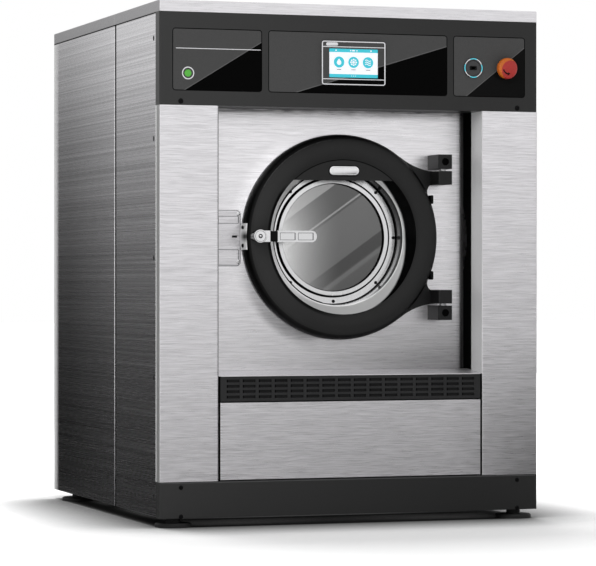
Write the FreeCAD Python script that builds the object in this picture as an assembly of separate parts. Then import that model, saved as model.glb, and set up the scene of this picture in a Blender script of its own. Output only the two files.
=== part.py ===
import FreeCAD, Part
import math
import os

# A soft-mount washer-extractor in millimetres: X to the right, Y to the back, Z up.
# The origin is on the floor under the middle of the machine.

# Cabinet
cabinet_width = 1140.0
cabinet_depth = 1220.0
cabinet_height = 1472.0
floor_gap = 27.0
plinth_height = 101.5
lid_height = 32.0
recess_width = 796.0
sheet = 1.5
bend_radius = 4.0
rear_corner_radius = 20.0
rear_wrap = 70.0
front_return = 38.0
pillar_return = 82.0
panel_flange = 24.0
side_panel_lift = 3.0
side_joint_y = -141.0
side_groove = 12.0
lid_joint_y = -133.0
joint_gap = 0.5
# Rounding of a folded panel's front edge, as a share of its sheet
fold_share = 0.6
# How far a cutting shape runs past a face, or a fused one into its neighbour
over = 1.0

# Frame of square tube on a base of deep rails, with adjustable feet
tube_size = 40.0
tube_wall = 3.0
frame_setback = 6.0
base_rail_width = 60.0
base_rail_wall = 5.0
rear_post_setback = 90.0
foot_pad_radius = 52.0
foot_pad_height = 12.0
foot_pad_bevel = 4.0
foot_stem_radius = 20.0
front_foot_setback = 50.0
rear_foot_setback = 120.0

# Door recess, sill, vent grille and lower panel
recess_depth = 118.0
soffit_clearance = 69.0
panel_gap = 4.0
float_gap = 6.0
sill_front_height = 423.0
sill_rise = 11.0
sill_flange = 30.0
grille_height = 71.5
grille_sheet = 3.0
grille_rows = 4
grille_columns = 16
slot_length = 38.0
slot_height = 8.0
slot_pitch_z = 15.0
slot_pitch_x = 47.3
lower_panel_height = 216.0
lower_panel_lift = 2.5
front_flange = 26.0

# Control fascia: it fills what is left above the door recess, and the screen and windows take shares of it
fascia_plate = 4.0
window_pocket = 2.4
window_sheet = 2.0
window_share = 0.663
window_middle = 0.4904
window_edge = 38.4
window_gap = 20.5
window_corner = 8.0
window_fit = 0.3
left_window_width = 260.6
right_window_width = 221.6
screen_x = 2.6
screen_share = 0.6586
screen_aspect = 1.793
bezel_share = 0.477
bezel_aspect = 1.542
bezel_corner = 7.0
bezel_proud = 5.0
screen_recess = 1.2
screen_module_depth = 44.0
control_middle = 0.4732
socket_pitch = 98.0
socket_radius = 28.7
socket_rim = 6.3
socket_rim_slope = 1.7
socket_bore_radius = 11.0
socket_port_width = 14.0
socket_port_height = 8.0
socket_proud = 4.0
stop_inset = 102.0
stop_head_radius = 30.2
stop_head_length = 21.0
stop_head_reach = 35.0
stop_head_crown = 5.0
stop_head_crown_radius = 26.0
stop_head_brow = 13.0
stop_head_edge = 2.0
stop_base_radius = 22.0
stop_base_proud = 6.0
stop_base_edge = 2.0
stop_stem_radius = 8.0
stop_block_size = 40.0
stop_block_depth = 36.0
stop_travel = 6.0

# Door opening and outer tub
door_height = 815.0
door_panel_sheet = 2.0
door_panel_bend = 20.0
door_panel_return = 40.0
door_panel_hidden = 8.0
mouth_radius = 218.0
neck_length = 66.0
tub_radius = 425.0
tub_wall = 4.0
tub_shaft_gap = 3.0
tub_length = 592.0
tub_end_plate = 12.0
tub_front_plate_thickness = 6.0
tub_mouth_radius = 200.0
tub_collar_length = 12.0
seal_lip_inner = 184.0
seal_lip_outer = 192.0
seal_foot_inner = 196.0
seal_foot_outer = 214.0
seal_foot = 6.0
seal_bend = 2.0
seal_gap = 0.4

# Drum, its shaft and the belt drive
drum_radius = 390.0
drum_wall = 3.0
drum_front_gap = 16.0
drum_back_gap = 20.0
drum_mouth_radius = 212.0
drum_shoulder = 30.0
lifter_count = 3
lifter_width = 120.0
lifter_height = 75.0
lifter_crest = 16.0
lifter_end_gap = 22.0
lifter_sheet = 3.0
shaft_radius = 45.0
shaft_tail = 2.0
spider_thickness = 14.0
spider_arm = 90.0
spider_tip = 60.0
spider_hub_radius = 95.0
running_gap = 0.05
seat_gap = 0.3
bearing_radius = 80.0
bearing_width = 40.0
bearing_end = 6.0
housing_radius = 110.0
housing_length = 204.0
housing_flange_radius = 190.0
housing_flange = 16.0
housing_ribs = 6
housing_rib = 14.0
pulley_gap = 16.0
pulley_width = 40.0
drum_pulley_radius = 240.0
pulley_flange = 6.0
pulley_flange_width = 4.0
pulley_rim = 14.0
pulley_web = 12.0
pulley_hub_radius = 75.0
pulley_holes = 6
pulley_hole_radius = 42.0
motor_pulley_radius = 60.0
belt_thickness = 8.0
belt_gap = 0.3
motor_x = 210.0
motor_radius = 95.0
motor_fan_radius = 76.0
motor_nose_radius = 66.5
motor_length = 228.0
motor_foot_height = 5.0
motor_foot_width = 130.0
motor_bell = 18.0
motor_shaft_radius = 19.0
motor_shaft_seat = 60.0
motor_shaft_end = 2.0
terminal_box = 70.0

# Suspension: a cradle on four coil springs with a damper inside each
cradle_bottom = 290.0
cradle_beam = 60.0
cradle_beam_x = 380.0
cradle_beam_front = -400.0
cradle_beam_back = 340.0
saddle_thickness = 12.0
saddle_half_width = 420.0
saddle_top = 520.0
front_strut_y = -340.0
rear_saddle_y = 130.0
rear_strut_y = 200.0
motor_plate_thickness = 8.0
motor_plate_front = 150.0
motor_plate_back = 330.0
spring_seat_radius = 62.0
spring_seat = 6.0
spring_radius = 46.0
spring_wire_radius = 7.0
spring_turns = 4
damper_radius = 28.0
damper_bevel = 4.7
damper_length = 100.0
damper_rod_radius = 11.0
damper_rod_depth = 50.0
damper_bore_floor = 17.0
tub_fit = 0.2

# Water inlets, fill hose, drain and cable gland
inlet_count = 3
inlet_pitch = 80.0
inlet_x = 260.0
inlet_drop = 120.0
inlet_radius = 13.2
inlet_body = 50.0
inlet_body_depth = 46.0
inlet_hole_gap = 1.0
spigot_shoulder = 1.5
spigot_proud = 2.0
hose_bore_radius = 20.4
hose_wall = 4.0
hose_bend = 60.0
fill_y = 60.0
fill_spigot = 70.0
fill_overlap = 28.0
drain_x = -60.0
drain_y = 0.0
drain_radius = 38.0
drain_hose_wall = 4.6
drain_body_radius = 46.0
drain_body_length = 95.0
drain_spigot = 45.0
drain_overlap = 22.0
drain_bend = 70.0
drain_actuator = 56.0
drain_pipe_wall = 3.0
drain_clearance = 3.0
outlet_flange = 5.0
outlet_flange_width = 18.0
gland_inset = 270.0
gland_radius = 16.0
gland_thread_radius = 11.0
gland_bore_radius = 7.7
gland_taper = 2.4
gland_nut = 8.0
gland_length = 20.0
control_box_width = 420.0
control_box_depth = 100.0
control_box_height = 200.0
control_box_sheet = 2.0
vent_slots = 8
vent_slot_length = 120.0
vent_slot_height = 6.0
vent_slot_pitch = 22.0
vent_x = -230.0
vent_height = 420.0

# Door: depths are measured forward from the door panel's face
ring_radius = 295.0
ring_back = 5.0
ring_widest = 12.0
ring_shoulder_radius = 281.0
ring_shoulder = 48.0
ring_crown_radius = 252.0
ring_crown = 57.0
ring_inner_radius = 222.0
ring_wall_radius = 226.0
ring_lip = 1.5
ring_back_edge = 9.0
ring_back_bulge = 0.3
ring_side_bulge = 3.0
brow_height = 162.0
brow_thickness = 2.4
brow_groove = 2.0
dish_sheet = 1.6
dish_waist_radius = 200.0
dish_groove = 3.0
dish_groove_width = 5.0
dish_lip = 2.0
dish_wall_radius = 197.0
dish_wall_taper = 3.0
dish_floor = -46.5
dish_hole_radius = 160.0
clamp_ring_outer = 192.0
clamp_ring_inner = 173.0
clamp_ring_thickness = 2.5
bezel_ring_outer = 170.0
bezel_ring_inner = 156.0
bezel_ring_thickness = 4.0
bezel_ring_slope = 1.0
glass_radius = 168.0
glass_thickness = 10.0
glass_seat = 3.0
glass_edge = 1.0
gasket_radius = 176.0
gasket_lip_radius = 160.0
gasket_length = 17.0

# Hinges and lock
hinge_x = 297.0
hinge_depth = 64.0
hinge_block_width = 42.5
hinge_block_reach = 88.0
hinge_block_height = 41.5
hinge_block_offset = 218.0
hinge_block_corner = 4.0
hinge_bolt_radius = 11.0
hinge_bolt_depth = 12.0
knuckle_height = 39.0
knuckle_offset = 171.6
knuckle_back = 7.0
knuckle_corner = 14.0
hinge_pin_radius = 9.0
hinge_pin_inset = 8.0
arm_thickness = 14.0
arm_back = 8.0
arm_root_angle = 52.0
arm_toe_angle = 24.8
arm_root_depth = 60.0
lock_plate_inner = 296.0
lock_plate_edge = 20.0
lock_plate_top = 76.0
lock_plate_bottom = 85.0
lock_plate_sheet = 2.0
lock_plate_corner = 12.0
lock_emboss = 1.5
lock_emboss_end = 306.0
lock_emboss_margin = 19.2
lock_slot_x = 314.0
lock_slot_length = 16.0
lock_slot_height = 6.0
lock_box_height = 110.0
lock_box_width = 80.0
lock_box_depth = 55.0
lock_box_corner = 7.0
keeper_height = 75.0
keeper_thickness = 4.0
keeper_front = 37.0
keeper_back = 4.0

# Handle on the left of the door ring
handle_x = -270.0
handle_spindle_radius = 9.0
handle_standoff = 68.0
handle_hub_depth = 34.0
handle_hub_left = 14.0
handle_hub_right = 30.0
handle_hub_height = 32.0
handle_boss_radius = 15.0
handle_boss_gap = 1.0
handle_cap_radius = 19.0
handle_cap = 4.0
handle_cap_edge = 1.3
handle_end_flat = 2.0
collar_length = 24.0
collar_height = 30.0
collar_depth = 26.0
collar_edge = 3.0
lever_length = 119.0
lever_height = 32.5
lever_thickness = 12.0
lever_recess = 2.0
lever_recess_height = 19.0
lever_recess_length = 44.0
lever_recess_gap = 10.0

# Places worked out from the sizes above
half_width = cabinet_width / 2
front = -cabinet_depth / 2
back = cabinet_depth / 2
plinth_top = floor_gap + plinth_height
lid_bottom = cabinet_height - lid_height
fascia_bottom = door_height + ring_radius + soffit_clearance
fascia_height = lid_bottom - fascia_bottom
pillar_inner = recess_width / 2
side_bottom = floor_gap + side_panel_lift
frame_x = half_width - panel_flange
frame_front = front + frame_setback
frame_back = back - rear_post_setback
base_top = plinth_top - sheet
panel_face = front + recess_depth
recess_edge = panel_face - float_gap
panel_half = pillar_inner - panel_gap
grille_top = sill_front_height - sheet
grille_bottom = grille_top - grille_height
lower_panel_bottom = plinth_top + lower_panel_lift
lower_panel_top = lower_panel_bottom + lower_panel_height
front_rail_y = front + front_flange
tub_front = panel_face + neck_length
tub_back = tub_front + tub_front_plate_thickness + tub_length
drum_front = tub_front + tub_front_plate_thickness + drum_front_gap
drum_back = tub_back - tub_end_plate - drum_back_gap
housing_back = tub_back + housing_length
pulley_front = housing_back + pulley_gap
pulley_back = pulley_front + pulley_width
cradle_top = cradle_bottom + cradle_beam
motor_z = cradle_top - motor_foot_height - motor_radius
motor_back = pulley_front - seat_gap - motor_bell
motor_front = motor_back - motor_length
window_face = front + window_pocket - window_sheet
window_height = fascia_height * window_share
window_z = fascia_bottom + fascia_height * window_middle
bezel_height = fascia_height * bezel_share
bezel_width = bezel_height * bezel_aspect
screen_height = bezel_height * screen_share
screen_width = screen_height * screen_aspect
control_z = fascia_bottom + fascia_height * control_middle
stop_x = half_width - stop_inset
socket_x = stop_x - socket_pitch
inlet_height = lid_bottom - inlet_drop
gland_x = gland_inset - half_width
fill_x = inlet_x + inlet_pitch
fill_top = door_height + math.sqrt(tub_radius ** 2 - fill_x ** 2) + fill_spigot
lock_plate_outer = panel_half - lock_plate_edge
rear_reach = back + stop_head_reach
hinge_y = panel_face - hinge_depth
handle_front = panel_face - handle_standoff - handle_hub_depth
collar_left = handle_x + handle_hub_right - seat_gap
lever_left = collar_left + collar_length
drain_top = door_height - math.sqrt(tub_radius ** 2 - (abs(drain_x) + drain_body_radius) ** 2)
drain_line = base_top + drain_radius + drain_hose_wall + drain_clearance


# Shape tools

def point(x, y, z):
    return FreeCAD.Vector(x, y, z)


def span(side, near, far):
    """The range between two distances from the middle, on the right (1) or the left (-1)."""
    if side > 0:
        return (near, far)
    return (-far, -near)


def block(x, y, z):
    return Part.makeBox(x[1] - x[0], y[1] - y[0], z[1] - z[0], point(x[0], y[0], z[0]))


def rod_y(x, z, radius, y):
    return Part.makeCylinder(radius, y[1] - y[0], point(x, y[0], z), point(0, 1, 0))


def rod_z(x, y, radius, z):
    return Part.makeCylinder(radius, z[1] - z[0], point(x, y, z[0]), point(0, 0, 1))


def pipe_y(x, z, outer, inner, y):
    return rod_y(x, z, outer, y).cut(rod_y(x, z, inner, y))


def wire_of(points, place):
    """A closed outline; a pair of points stands for an arc through the first to the second."""
    edges = []
    first = place(*points[0])
    here = first
    for item in points[1:] + [points[0]]:
        if isinstance(item[0], tuple):
            there = place(*item[1])
            edges.append(Part.Arc(here, place(*item[0]), there).toShape())
        else:
            there = place(*item)
            if not there.isEqual(here, 1e-6):
                edges.append(Part.LineSegment(here, there).toShape())
        here = there
    return Part.Wire(edges)


def turned(points, x=0.0, z=door_height):
    """A solid turned about a line along Y; points are (radius, y)."""
    face = Part.Face(wire_of(points, lambda r, y: point(x + r, y, z)))
    return face.revolve(point(x, 0, z), point(0, 1, 0), 360)


def turned_forward(points, x=0.0, z=door_height):
    """As turned, with depths measured forward from the door panel's face."""
    def flip(item):
        if isinstance(item[0], tuple):
            return (flip(item[0]), flip(item[1]))
        return (item[0], panel_face - item[1])
    return turned([flip(item) for item in points], x, z)


def plate_xz(points, y):
    """A flat plate cut to an outline of (x, z) points."""
    face = Part.Face(wire_of(points, lambda u, v: point(u, y[0], v)))
    return face.extrude(point(0, y[1] - y[0], 0))


def edges_at(shape, **at):
    """The edges whose ends all lie at the given coordinates."""
    found = []
    for edge in shape.Edges:
        ends = [vertex.Point for vertex in edge.Vertexes]
        if all(abs(getattr(end, axis) - value) < 0.01 for end in ends for axis, value in at.items()):
            found.append(edge)
    return found


def rounded(shape, radius, *places):
    """Rounds the edges found at each of the places."""
    edges = []
    for place in places:
        edges.extend(edges_at(shape, **place))
    return shape.makeFillet(radius, edges)


def slab_y(x, z, width, height, corner, y):
    """A plate facing along Y, centred at x and z, with rounded corners."""
    left, right = x - width / 2, x + width / 2
    low, high = z - height / 2, z + height / 2
    plate = block((left, right), y, (low, high))
    corners = [dict(x=a, z=b) for a in (left, right) for b in (low, high)]
    return rounded(plate, corner, *corners)


def around(count, start=90.0):
    """Evenly spaced angles in degrees."""
    return [start + 360.0 * index / count for index in range(count)]


def dome_drop(radius, rise):
    """How far a round crown has dropped half way from its top to its edge."""
    sphere = (radius ** 2 + rise ** 2) / (2 * rise)
    return sphere - math.sqrt(sphere ** 2 - (radius / 2) ** 2)


def turned_copy(shape, angle, x=0.0, z=door_height):
    copy = shape.copy()
    copy.rotate(point(x, 0, z), point(0, 1, 0), angle)
    return copy


def mirrored(shape):
    return shape.mirror(point(0, 0, 0), point(1, 0, 0))


def group(solids):
    return Part.makeCompound(solids)


# Base, feet and frame

def base_frame():
    front_rail = (frame_front, frame_front + base_rail_width)
    rear_rail = (frame_back - base_rail_width, frame_back)
    struts = [(y - base_rail_width / 2, y + base_rail_width / 2) for y in (front_strut_y, rear_strut_y)]
    inner_x = frame_x - base_rail_width
    height = (floor_gap, base_top)
    hollow = (floor_gap + base_rail_wall, base_top - base_rail_wall)
    wall = base_rail_wall
    outer = []
    inner = []
    for side in (-1, 1):
        outer.append(block(span(side, inner_x, frame_x), (frame_front, frame_back), height))
        inner.append(block(span(side, inner_x + wall, frame_x - wall),
                           (frame_front - over, frame_back + over), hollow))
    for low, high in [front_rail, rear_rail] + struts:
        outer.append(block((-inner_x - over, inner_x + over), (low, high), height))
        inner.append(block((-inner_x - wall - over, inner_x + wall + over),
                           (low + wall, high - wall), hollow))
    frame = outer[0].fuse(outer[1:]).cut(inner[0].fuse(inner[1:]))
    seats = []
    for x in (-cradle_beam_x, cradle_beam_x):
        for y in (front_strut_y, rear_strut_y):
            seats.append(rod_z(x, y, spring_seat_radius, (base_top - over, base_top + spring_seat)))
            if spring_seat_radius > base_rail_width / 2:
                seats.append(block((x - spring_seat_radius, x + spring_seat_radius),
                                   (y - spring_seat_radius, y + spring_seat_radius),
                                   (base_top - base_rail_wall, base_top)))
    return frame.fuse(seats).removeSplitter()


def levelling_feet():
    feet = []
    foot_x = frame_x - base_rail_width / 2
    for x in (-foot_x, foot_x):
        for y in (front + front_foot_setback, back - rear_foot_setback):
            pad = rod_z(x, y, foot_pad_radius, (0, foot_pad_height))
            pad = pad.makeChamfer(foot_pad_bevel, edges_at(pad, z=foot_pad_height))
            stem = rod_z(x, y, foot_stem_radius, (foot_pad_height - over, floor_gap))
            feet.append(pad.fuse(stem).removeSplitter())
    return group(feet)


def front_rail_height():
    """The rail behind the joint of the vent grille and the lower panel."""
    return (lower_panel_top - tube_size / 2, lower_panel_top + tube_size / 2)


def upper_frame():
    post_y = [frame_front, side_joint_y - tube_size / 2, frame_back - tube_size]
    outer_x = frame_x - tube_size
    wall = tube_wall
    top = (lid_bottom - tube_size, lid_bottom)
    rail = front_rail_height()
    outer = []
    inner = []
    for side in (-1, 1):
        for y in post_y:
            outer.append(block(span(side, outer_x, frame_x), (y, y + tube_size), (base_top, lid_bottom)))
            inner.append(block(span(side, outer_x + wall, frame_x - wall), (y + wall, y + tube_size - wall),
                               (base_top - over, lid_bottom + over)))
        outer.append(block(span(side, outer_x, frame_x), (post_y[0], frame_back), top))
        inner.append(block(span(side, outer_x + wall, frame_x - wall), (post_y[0] + wall, frame_back - wall),
                           (top[0] + wall, top[1] - wall)))
        arm_y = (frame_front + tube_size - over, front_rail_y + tube_size)
        if arm_y[1] > arm_y[0]:
            outer.append(block(span(side, outer_x, frame_x), arm_y, rail))
    for y in (post_y[0], post_y[2]):
        outer.append(block((-outer_x - over, outer_x + over), (y, y + tube_size), top))
        inner.append(block((-outer_x - wall - over, outer_x + wall + over), (y + wall, y + tube_size - wall),
                           (top[0] + wall, top[1] - wall)))
    outer.append(block((-outer_x - over, outer_x + over), (front_rail_y, front_rail_y + tube_size), rail))
    inner.append(block((-outer_x - wall - over, outer_x + wall + over),
                       (front_rail_y + wall, front_rail_y + tube_size - wall),
                       (rail[0] + wall, rail[1] - wall)))
    return outer[0].fuse(outer[1:]).cut(inner[0].fuse(inner[1:])).removeSplitter()


# Cabinet skin

def plinth_panel():
    depth = (front, front + front_return)
    skin = block((-half_width, half_width), depth, (floor_gap, plinth_top))
    skin = rounded(skin, bend_radius, dict(x=-half_width, y=front), dict(x=half_width, y=front))
    top_edges = [edge for edge in skin.Edges if abs(edge.BoundBox.ZMin - plinth_top) < 0.01
                 and edge.BoundBox.YMax < depth[1] - 0.01 and edge.BoundBox.ZLength < 0.01]
    skin = skin.makeFillet(bend_radius - sheet, top_edges)
    cuts = [block((sheet - half_width, half_width - sheet), (front + sheet, depth[1] + over),
                  (floor_gap - over, plinth_top - sheet))]
    for side in (-1, 1):
        cuts.append(block(span(side, frame_x - tube_size - joint_gap, frame_x + joint_gap),
                          (frame_front - joint_gap, depth[1] + over), (floor_gap, plinth_top + over)))
    return skin.cut(cuts)


def pillar(side):
    deep = front + pillar_return
    height = (plinth_top, fascia_bottom)
    skin = block(span(side, pillar_inner, half_width), (front, deep), height)
    skin = rounded(skin, bend_radius, dict(x=side * pillar_inner, y=front),
                   dict(x=side * half_width, y=front))
    tall = (height[0] - over, height[1] + over)
    hollow = block(span(side, pillar_inner + sheet, half_width - sheet), (front + sheet, deep + over), tall)
    trim = block(span(side, half_width - sheet - over, half_width + over),
                 (front + front_return, deep + over), tall)
    rail = front_rail_height()
    notch = block(span(side, pillar_inner - over, pillar_inner + sheet + over),
                  (front_rail_y - joint_gap, deep + over), (rail[0] - joint_gap, rail[1] + joint_gap))
    return skin.cut([hollow, trim, notch])


def front_side_panel(side):
    y = (front + front_return, side_joint_y - side_groove / 2)
    z = (side_bottom, lid_bottom)
    skin = block(span(side, frame_x, half_width), y, z)
    skin = rounded(skin, bend_radius, dict(x=side * half_width, y=y[1]))
    return skin.cut(block(span(side, frame_x - over, half_width - sheet), (y[0] + sheet, y[1] - sheet),
                          (z[0] - over, z[1] + over)))


def rear_side_panel(side):
    y = (side_joint_y + side_groove / 2, back)
    z = (side_bottom, lid_bottom)
    tall = (z[0] - over, z[1] + over)
    wrap_end = half_width - rear_corner_radius - rear_wrap
    skin = block(span(side, wrap_end, half_width), y, z)
    skin = rounded(skin, rear_corner_radius, dict(x=side * half_width, y=back))
    skin = rounded(skin, bend_radius, dict(x=side * half_width, y=y[0]))
    hollow = block(span(side, wrap_end - over, half_width - sheet), (y[0] + sheet, back - sheet), tall)
    hollow = rounded(hollow, rear_corner_radius - sheet, dict(x=side * (half_width - sheet), y=back - sheet))
    trim = block(span(side, wrap_end - over, frame_x), (y[0] - over, y[0] + sheet + over), tall)
    return skin.cut([hollow, trim])


def top_cover(y, front_corner, rear_corner):
    z = (lid_bottom, cabinet_height)
    x = (-half_width, half_width)
    skin = block(x, y, z)
    skin = rounded(skin, front_corner, dict(x=x[0], y=y[0]), dict(x=x[1], y=y[0]))
    skin = rounded(skin, rear_corner, dict(x=x[0], y=y[1]), dict(x=x[1], y=y[1]))
    skin = skin.makeFillet(bend_radius - sheet, edges_at(skin, z=cabinet_height))
    hollow = block((x[0] + sheet, x[1] - sheet), (y[0] + sheet, y[1] - sheet), (z[0] - over, z[1] - sheet))
    hollow = rounded(hollow, max(front_corner - sheet, sheet), dict(x=x[0] + sheet, y=y[0] + sheet),
                     dict(x=x[1] - sheet, y=y[0] + sheet))
    hollow = rounded(hollow, max(rear_corner - sheet, sheet), dict(x=x[0] + sheet, y=y[1] - sheet),
                     dict(x=x[1] - sheet, y=y[1] - sheet))
    return skin.cut(hollow)


def inlet_places():
    return [inlet_x + (index - (inlet_count - 1) / 2) * inlet_pitch for index in range(inlet_count)]


def rear_panel():
    half = half_width - rear_corner_radius - rear_wrap - joint_gap
    y = (back - sheet, back)
    through = (y[0] - over, y[1] + over)
    panel = block((-half, half), y, (side_bottom, lid_bottom))
    room = spigot_shoulder + inlet_hole_gap / 2
    cuts = [rod_y(drain_x, drain_line, drain_radius + room, through)]
    for x in inlet_places():
        cuts.append(rod_y(x, inlet_height, inlet_radius + room, through))
    cuts.append(rod_y(gland_x, inlet_height, gland_thread_radius + inlet_hole_gap / 2, through))
    for index in range(vent_slots):
        z = vent_height + index * vent_slot_pitch
        cuts.append(block((vent_x - vent_slot_length / 2, vent_x + vent_slot_length / 2), through,
                          (z, z + vent_slot_height)))
    return panel.cut(cuts)


def recess_sill():
    width = 2 * (pillar_inner - joint_gap)
    outline = [
        (front, sill_front_height),
        (recess_edge, sill_front_height + sill_rise),
        (recess_edge, sill_front_height + sill_rise - sill_flange),
        (recess_edge - sheet, sill_front_height + sill_rise - sill_flange),
        (recess_edge - sheet, sill_front_height + sill_rise - 2 * sheet),
        (front, sill_front_height - sheet),
    ]
    face = Part.Face(wire_of(outline, lambda y, z: point(-width / 2, y, z)))
    return face.extrude(point(width, 0, 0))


def tray(half, z, wall, depth):
    """A folded front panel: a face with a flange all round."""
    skin = block((-half, half), (front, front + depth), z)
    edges = edges_at(skin, y=front)
    skin = skin.makeFillet(wall * fold_share, edges)
    return skin.cut(block((wall - half, half - wall), (front + wall, front + depth + over),
                          (z[0] + wall, z[1] - wall)))


def vent_grille():
    grille = tray(panel_half, (grille_bottom, grille_top), grille_sheet, front_flange)
    middle = (grille_bottom + grille_top) / 2
    slots = []
    for row in range(grille_rows):
        z = middle + (row - (grille_rows - 1) / 2) * slot_pitch_z
        for column in range(grille_columns):
            x = (column - (grille_columns - 1) / 2) * slot_pitch_x
            slots.append(block((x - slot_length / 2, x + slot_length / 2),
                               (front - over, front + grille_sheet + over),
                               (z - slot_height / 2, z + slot_height / 2)))
    return grille.cut(slots)


def windows():
    """The middle and the width of each window, from left to right."""
    left = window_edge - half_width
    right = half_width - window_edge
    centre_left = left + left_window_width + window_gap
    centre_right = right - right_window_width - window_gap
    return [
        (left + left_window_width / 2, left_window_width),
        ((centre_left + centre_right) / 2, centre_right - centre_left),
        (right - right_window_width / 2, right_window_width),
    ]


def control_holes(y):
    """The holes for the screen module, the data socket and the stop button."""
    return [
        block((screen_x - screen_width / 2 - sheet, screen_x + screen_width / 2 + sheet), y,
              (window_z - screen_height / 2 - sheet, window_z + screen_height / 2 + sheet)),
        rod_y(socket_x, control_z, socket_bore_radius + seat_gap, y),
        rod_y(stop_x, control_z, stop_stem_radius + 2 * seat_gap, y),
    ]


def control_fascia():
    skin = block((-half_width, half_width), (front, front + front_return), (fascia_bottom, lid_bottom))
    skin = rounded(skin, bend_radius, dict(x=-half_width, y=front), dict(x=half_width, y=front))
    hollow = block((sheet - half_width, half_width - sheet),
                   (front + fascia_plate, front + front_return + over),
                   (fascia_bottom - over, lid_bottom + over))
    soffit = block((-pillar_inner, pillar_inner), (front + fascia_plate - over, recess_edge),
                   (fascia_bottom, fascia_bottom + sheet))
    cuts = control_holes((front - over, front + fascia_plate + over))
    for x, width in windows():
        cuts.append(slab_y(x, window_z, width, window_height, window_corner,
                           (front - over, front + window_pocket)))
    return skin.cut(hollow).fuse(soffit).cut(cuts).removeSplitter()


def fascia_windows():
    panes = []
    depth = (window_face, front + window_pocket)
    for x, width in windows():
        pane = slab_y(x, window_z, width - 2 * window_fit, window_height - 2 * window_fit,
                      window_corner - window_fit, depth)
        panes.append(pane.cut(control_holes((depth[0] - over, depth[1] + over))))
    return group(panes)


def touchscreen_bezel():
    frame = slab_y(screen_x, window_z, bezel_width, bezel_height, bezel_corner,
                   (window_face - bezel_proud, window_face))
    module = block((screen_x - screen_width / 2 - sheet / 2, screen_x + screen_width / 2 + sheet / 2),
                   (window_face - sheet, front + screen_module_depth),
                   (window_z - screen_height / 2 - sheet / 2, window_z + screen_height / 2 + sheet / 2))
    pocket = slab_y(screen_x, window_z, screen_width, screen_height, sheet,
                    (window_face - bezel_proud - over, window_face - screen_recess))
    return frame.fuse(module).cut(pocket).removeSplitter()


def touchscreen_display():
    return slab_y(screen_x, window_z, screen_width - window_fit, screen_height - window_fit, sheet,
                  (window_face - bezel_proud + screen_recess, window_face - screen_recess))


def usb_socket():
    floor = window_face - socket_proud / 2
    crest = window_face - socket_proud
    crest_inner = socket_radius - socket_rim
    edge = socket_rim_slope / 2
    rim = turned([
        (0, floor),
        (crest_inner - socket_rim_slope, floor),
        (crest_inner, crest),
        (socket_radius - edge, crest),
        (socket_radius, crest + edge),
        (socket_radius, window_face),
        (socket_bore_radius, window_face),
        (socket_bore_radius, front + front_return),
        (0, front + front_return),
    ], socket_x, control_z)
    port = block((socket_x - socket_port_width / 2, socket_x + socket_port_width / 2),
                 (crest - over, front + front_return - fascia_plate),
                 (control_z - socket_port_height / 2, control_z + socket_port_height / 2))
    return rim.cut(port)


def stop_button_base():
    collar = turned([
        (stop_stem_radius + seat_gap, window_face - stop_base_proud),
        (stop_base_radius - stop_base_edge, window_face - stop_base_proud),
        (stop_base_radius, window_face - stop_base_proud + stop_base_edge),
        (stop_base_radius, window_face),
        (stop_stem_radius + seat_gap, window_face),
    ], stop_x, control_z)
    half = stop_block_size / 2
    depth = (front + fascia_plate, front + fascia_plate + stop_block_depth)
    contacts = block((stop_x - half, stop_x + half), depth, (control_z - half, control_z + half))
    bush = pipe_y(stop_x, control_z, stop_stem_radius + 2 * seat_gap, stop_stem_radius + running_gap,
                  (window_face - over, depth[0] + over))
    bore = rod_y(stop_x, control_z, stop_stem_radius + running_gap,
                 (depth[0] - over, depth[1] - fascia_plate))
    return collar.fuse([contacts, bush]).cut(bore).removeSplitter()


def stop_button_stem():
    head_back = front - stop_head_reach + stop_head_length
    tail = front + stop_block_depth - stop_travel - joint_gap
    return rod_y(stop_x, control_z, stop_stem_radius, (head_back - stop_head_length / 2, tail))


def stop_button_head():
    top = front - stop_head_reach
    head_back = top + stop_head_length
    bore = stop_stem_radius + running_gap
    crown = stop_head_crown_radius
    shoulder = (stop_head_radius - crown) / 4
    return turned([
        (0, top),
        ((crown / 2, top + dome_drop(crown, stop_head_crown)), (crown, top + stop_head_crown)),
        ((stop_head_radius - shoulder, (2 * top + stop_head_crown + stop_head_brow) / 2 - shoulder / 2),
         (stop_head_radius, top + stop_head_brow)),
        (stop_head_radius, head_back - stop_head_edge),
        (stop_head_radius - stop_head_edge, head_back),
        (bore, head_back),
        (bore, head_back - stop_head_length / 2 - seat_gap),
        (0, head_back - stop_head_length / 2 - seat_gap),
    ], stop_x, control_z)


def control_box():
    """An open-topped case hung on the back of the front rail."""
    x = (-control_box_width / 2, control_box_width / 2)
    y = (front_rail_y + tube_size, front_rail_y + tube_size + control_box_depth)
    top = front_rail_height()[1]
    z = (top - control_box_height, top)
    wall = control_box_sheet
    hollow = block((x[0] + wall, x[1] - wall), (y[0] + wall, y[1] - wall), (z[0] + wall, z[1] + over))
    return block(x, y, z).cut(hollow)


# Water and power connections on the back

def water_inlet_valves():
    valves = []
    half = inlet_body / 2
    inner = back - sheet
    z = (inlet_height - half, inlet_height + half)
    for x in inlet_places():
        body = block((x - half, x + half), (inner - inlet_body_depth, inner), z)
        neck = rod_y(x, inlet_height, inlet_radius + spigot_shoulder, (inner - over, back + spigot_proud))
        thread = rod_y(x, inlet_height, inlet_radius, (back, rear_reach))
        valves.append(body.fuse([neck, thread]).removeSplitter())
    return group(valves)


def fill_hose():
    outer = hose_bore_radius + hose_wall
    start = back - sheet - inlet_body_depth
    low = fill_top - fill_overlap
    return bent_hose(fill_x, fill_y, start, inlet_height, low, hose_bend, outer, hose_bore_radius)


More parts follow.
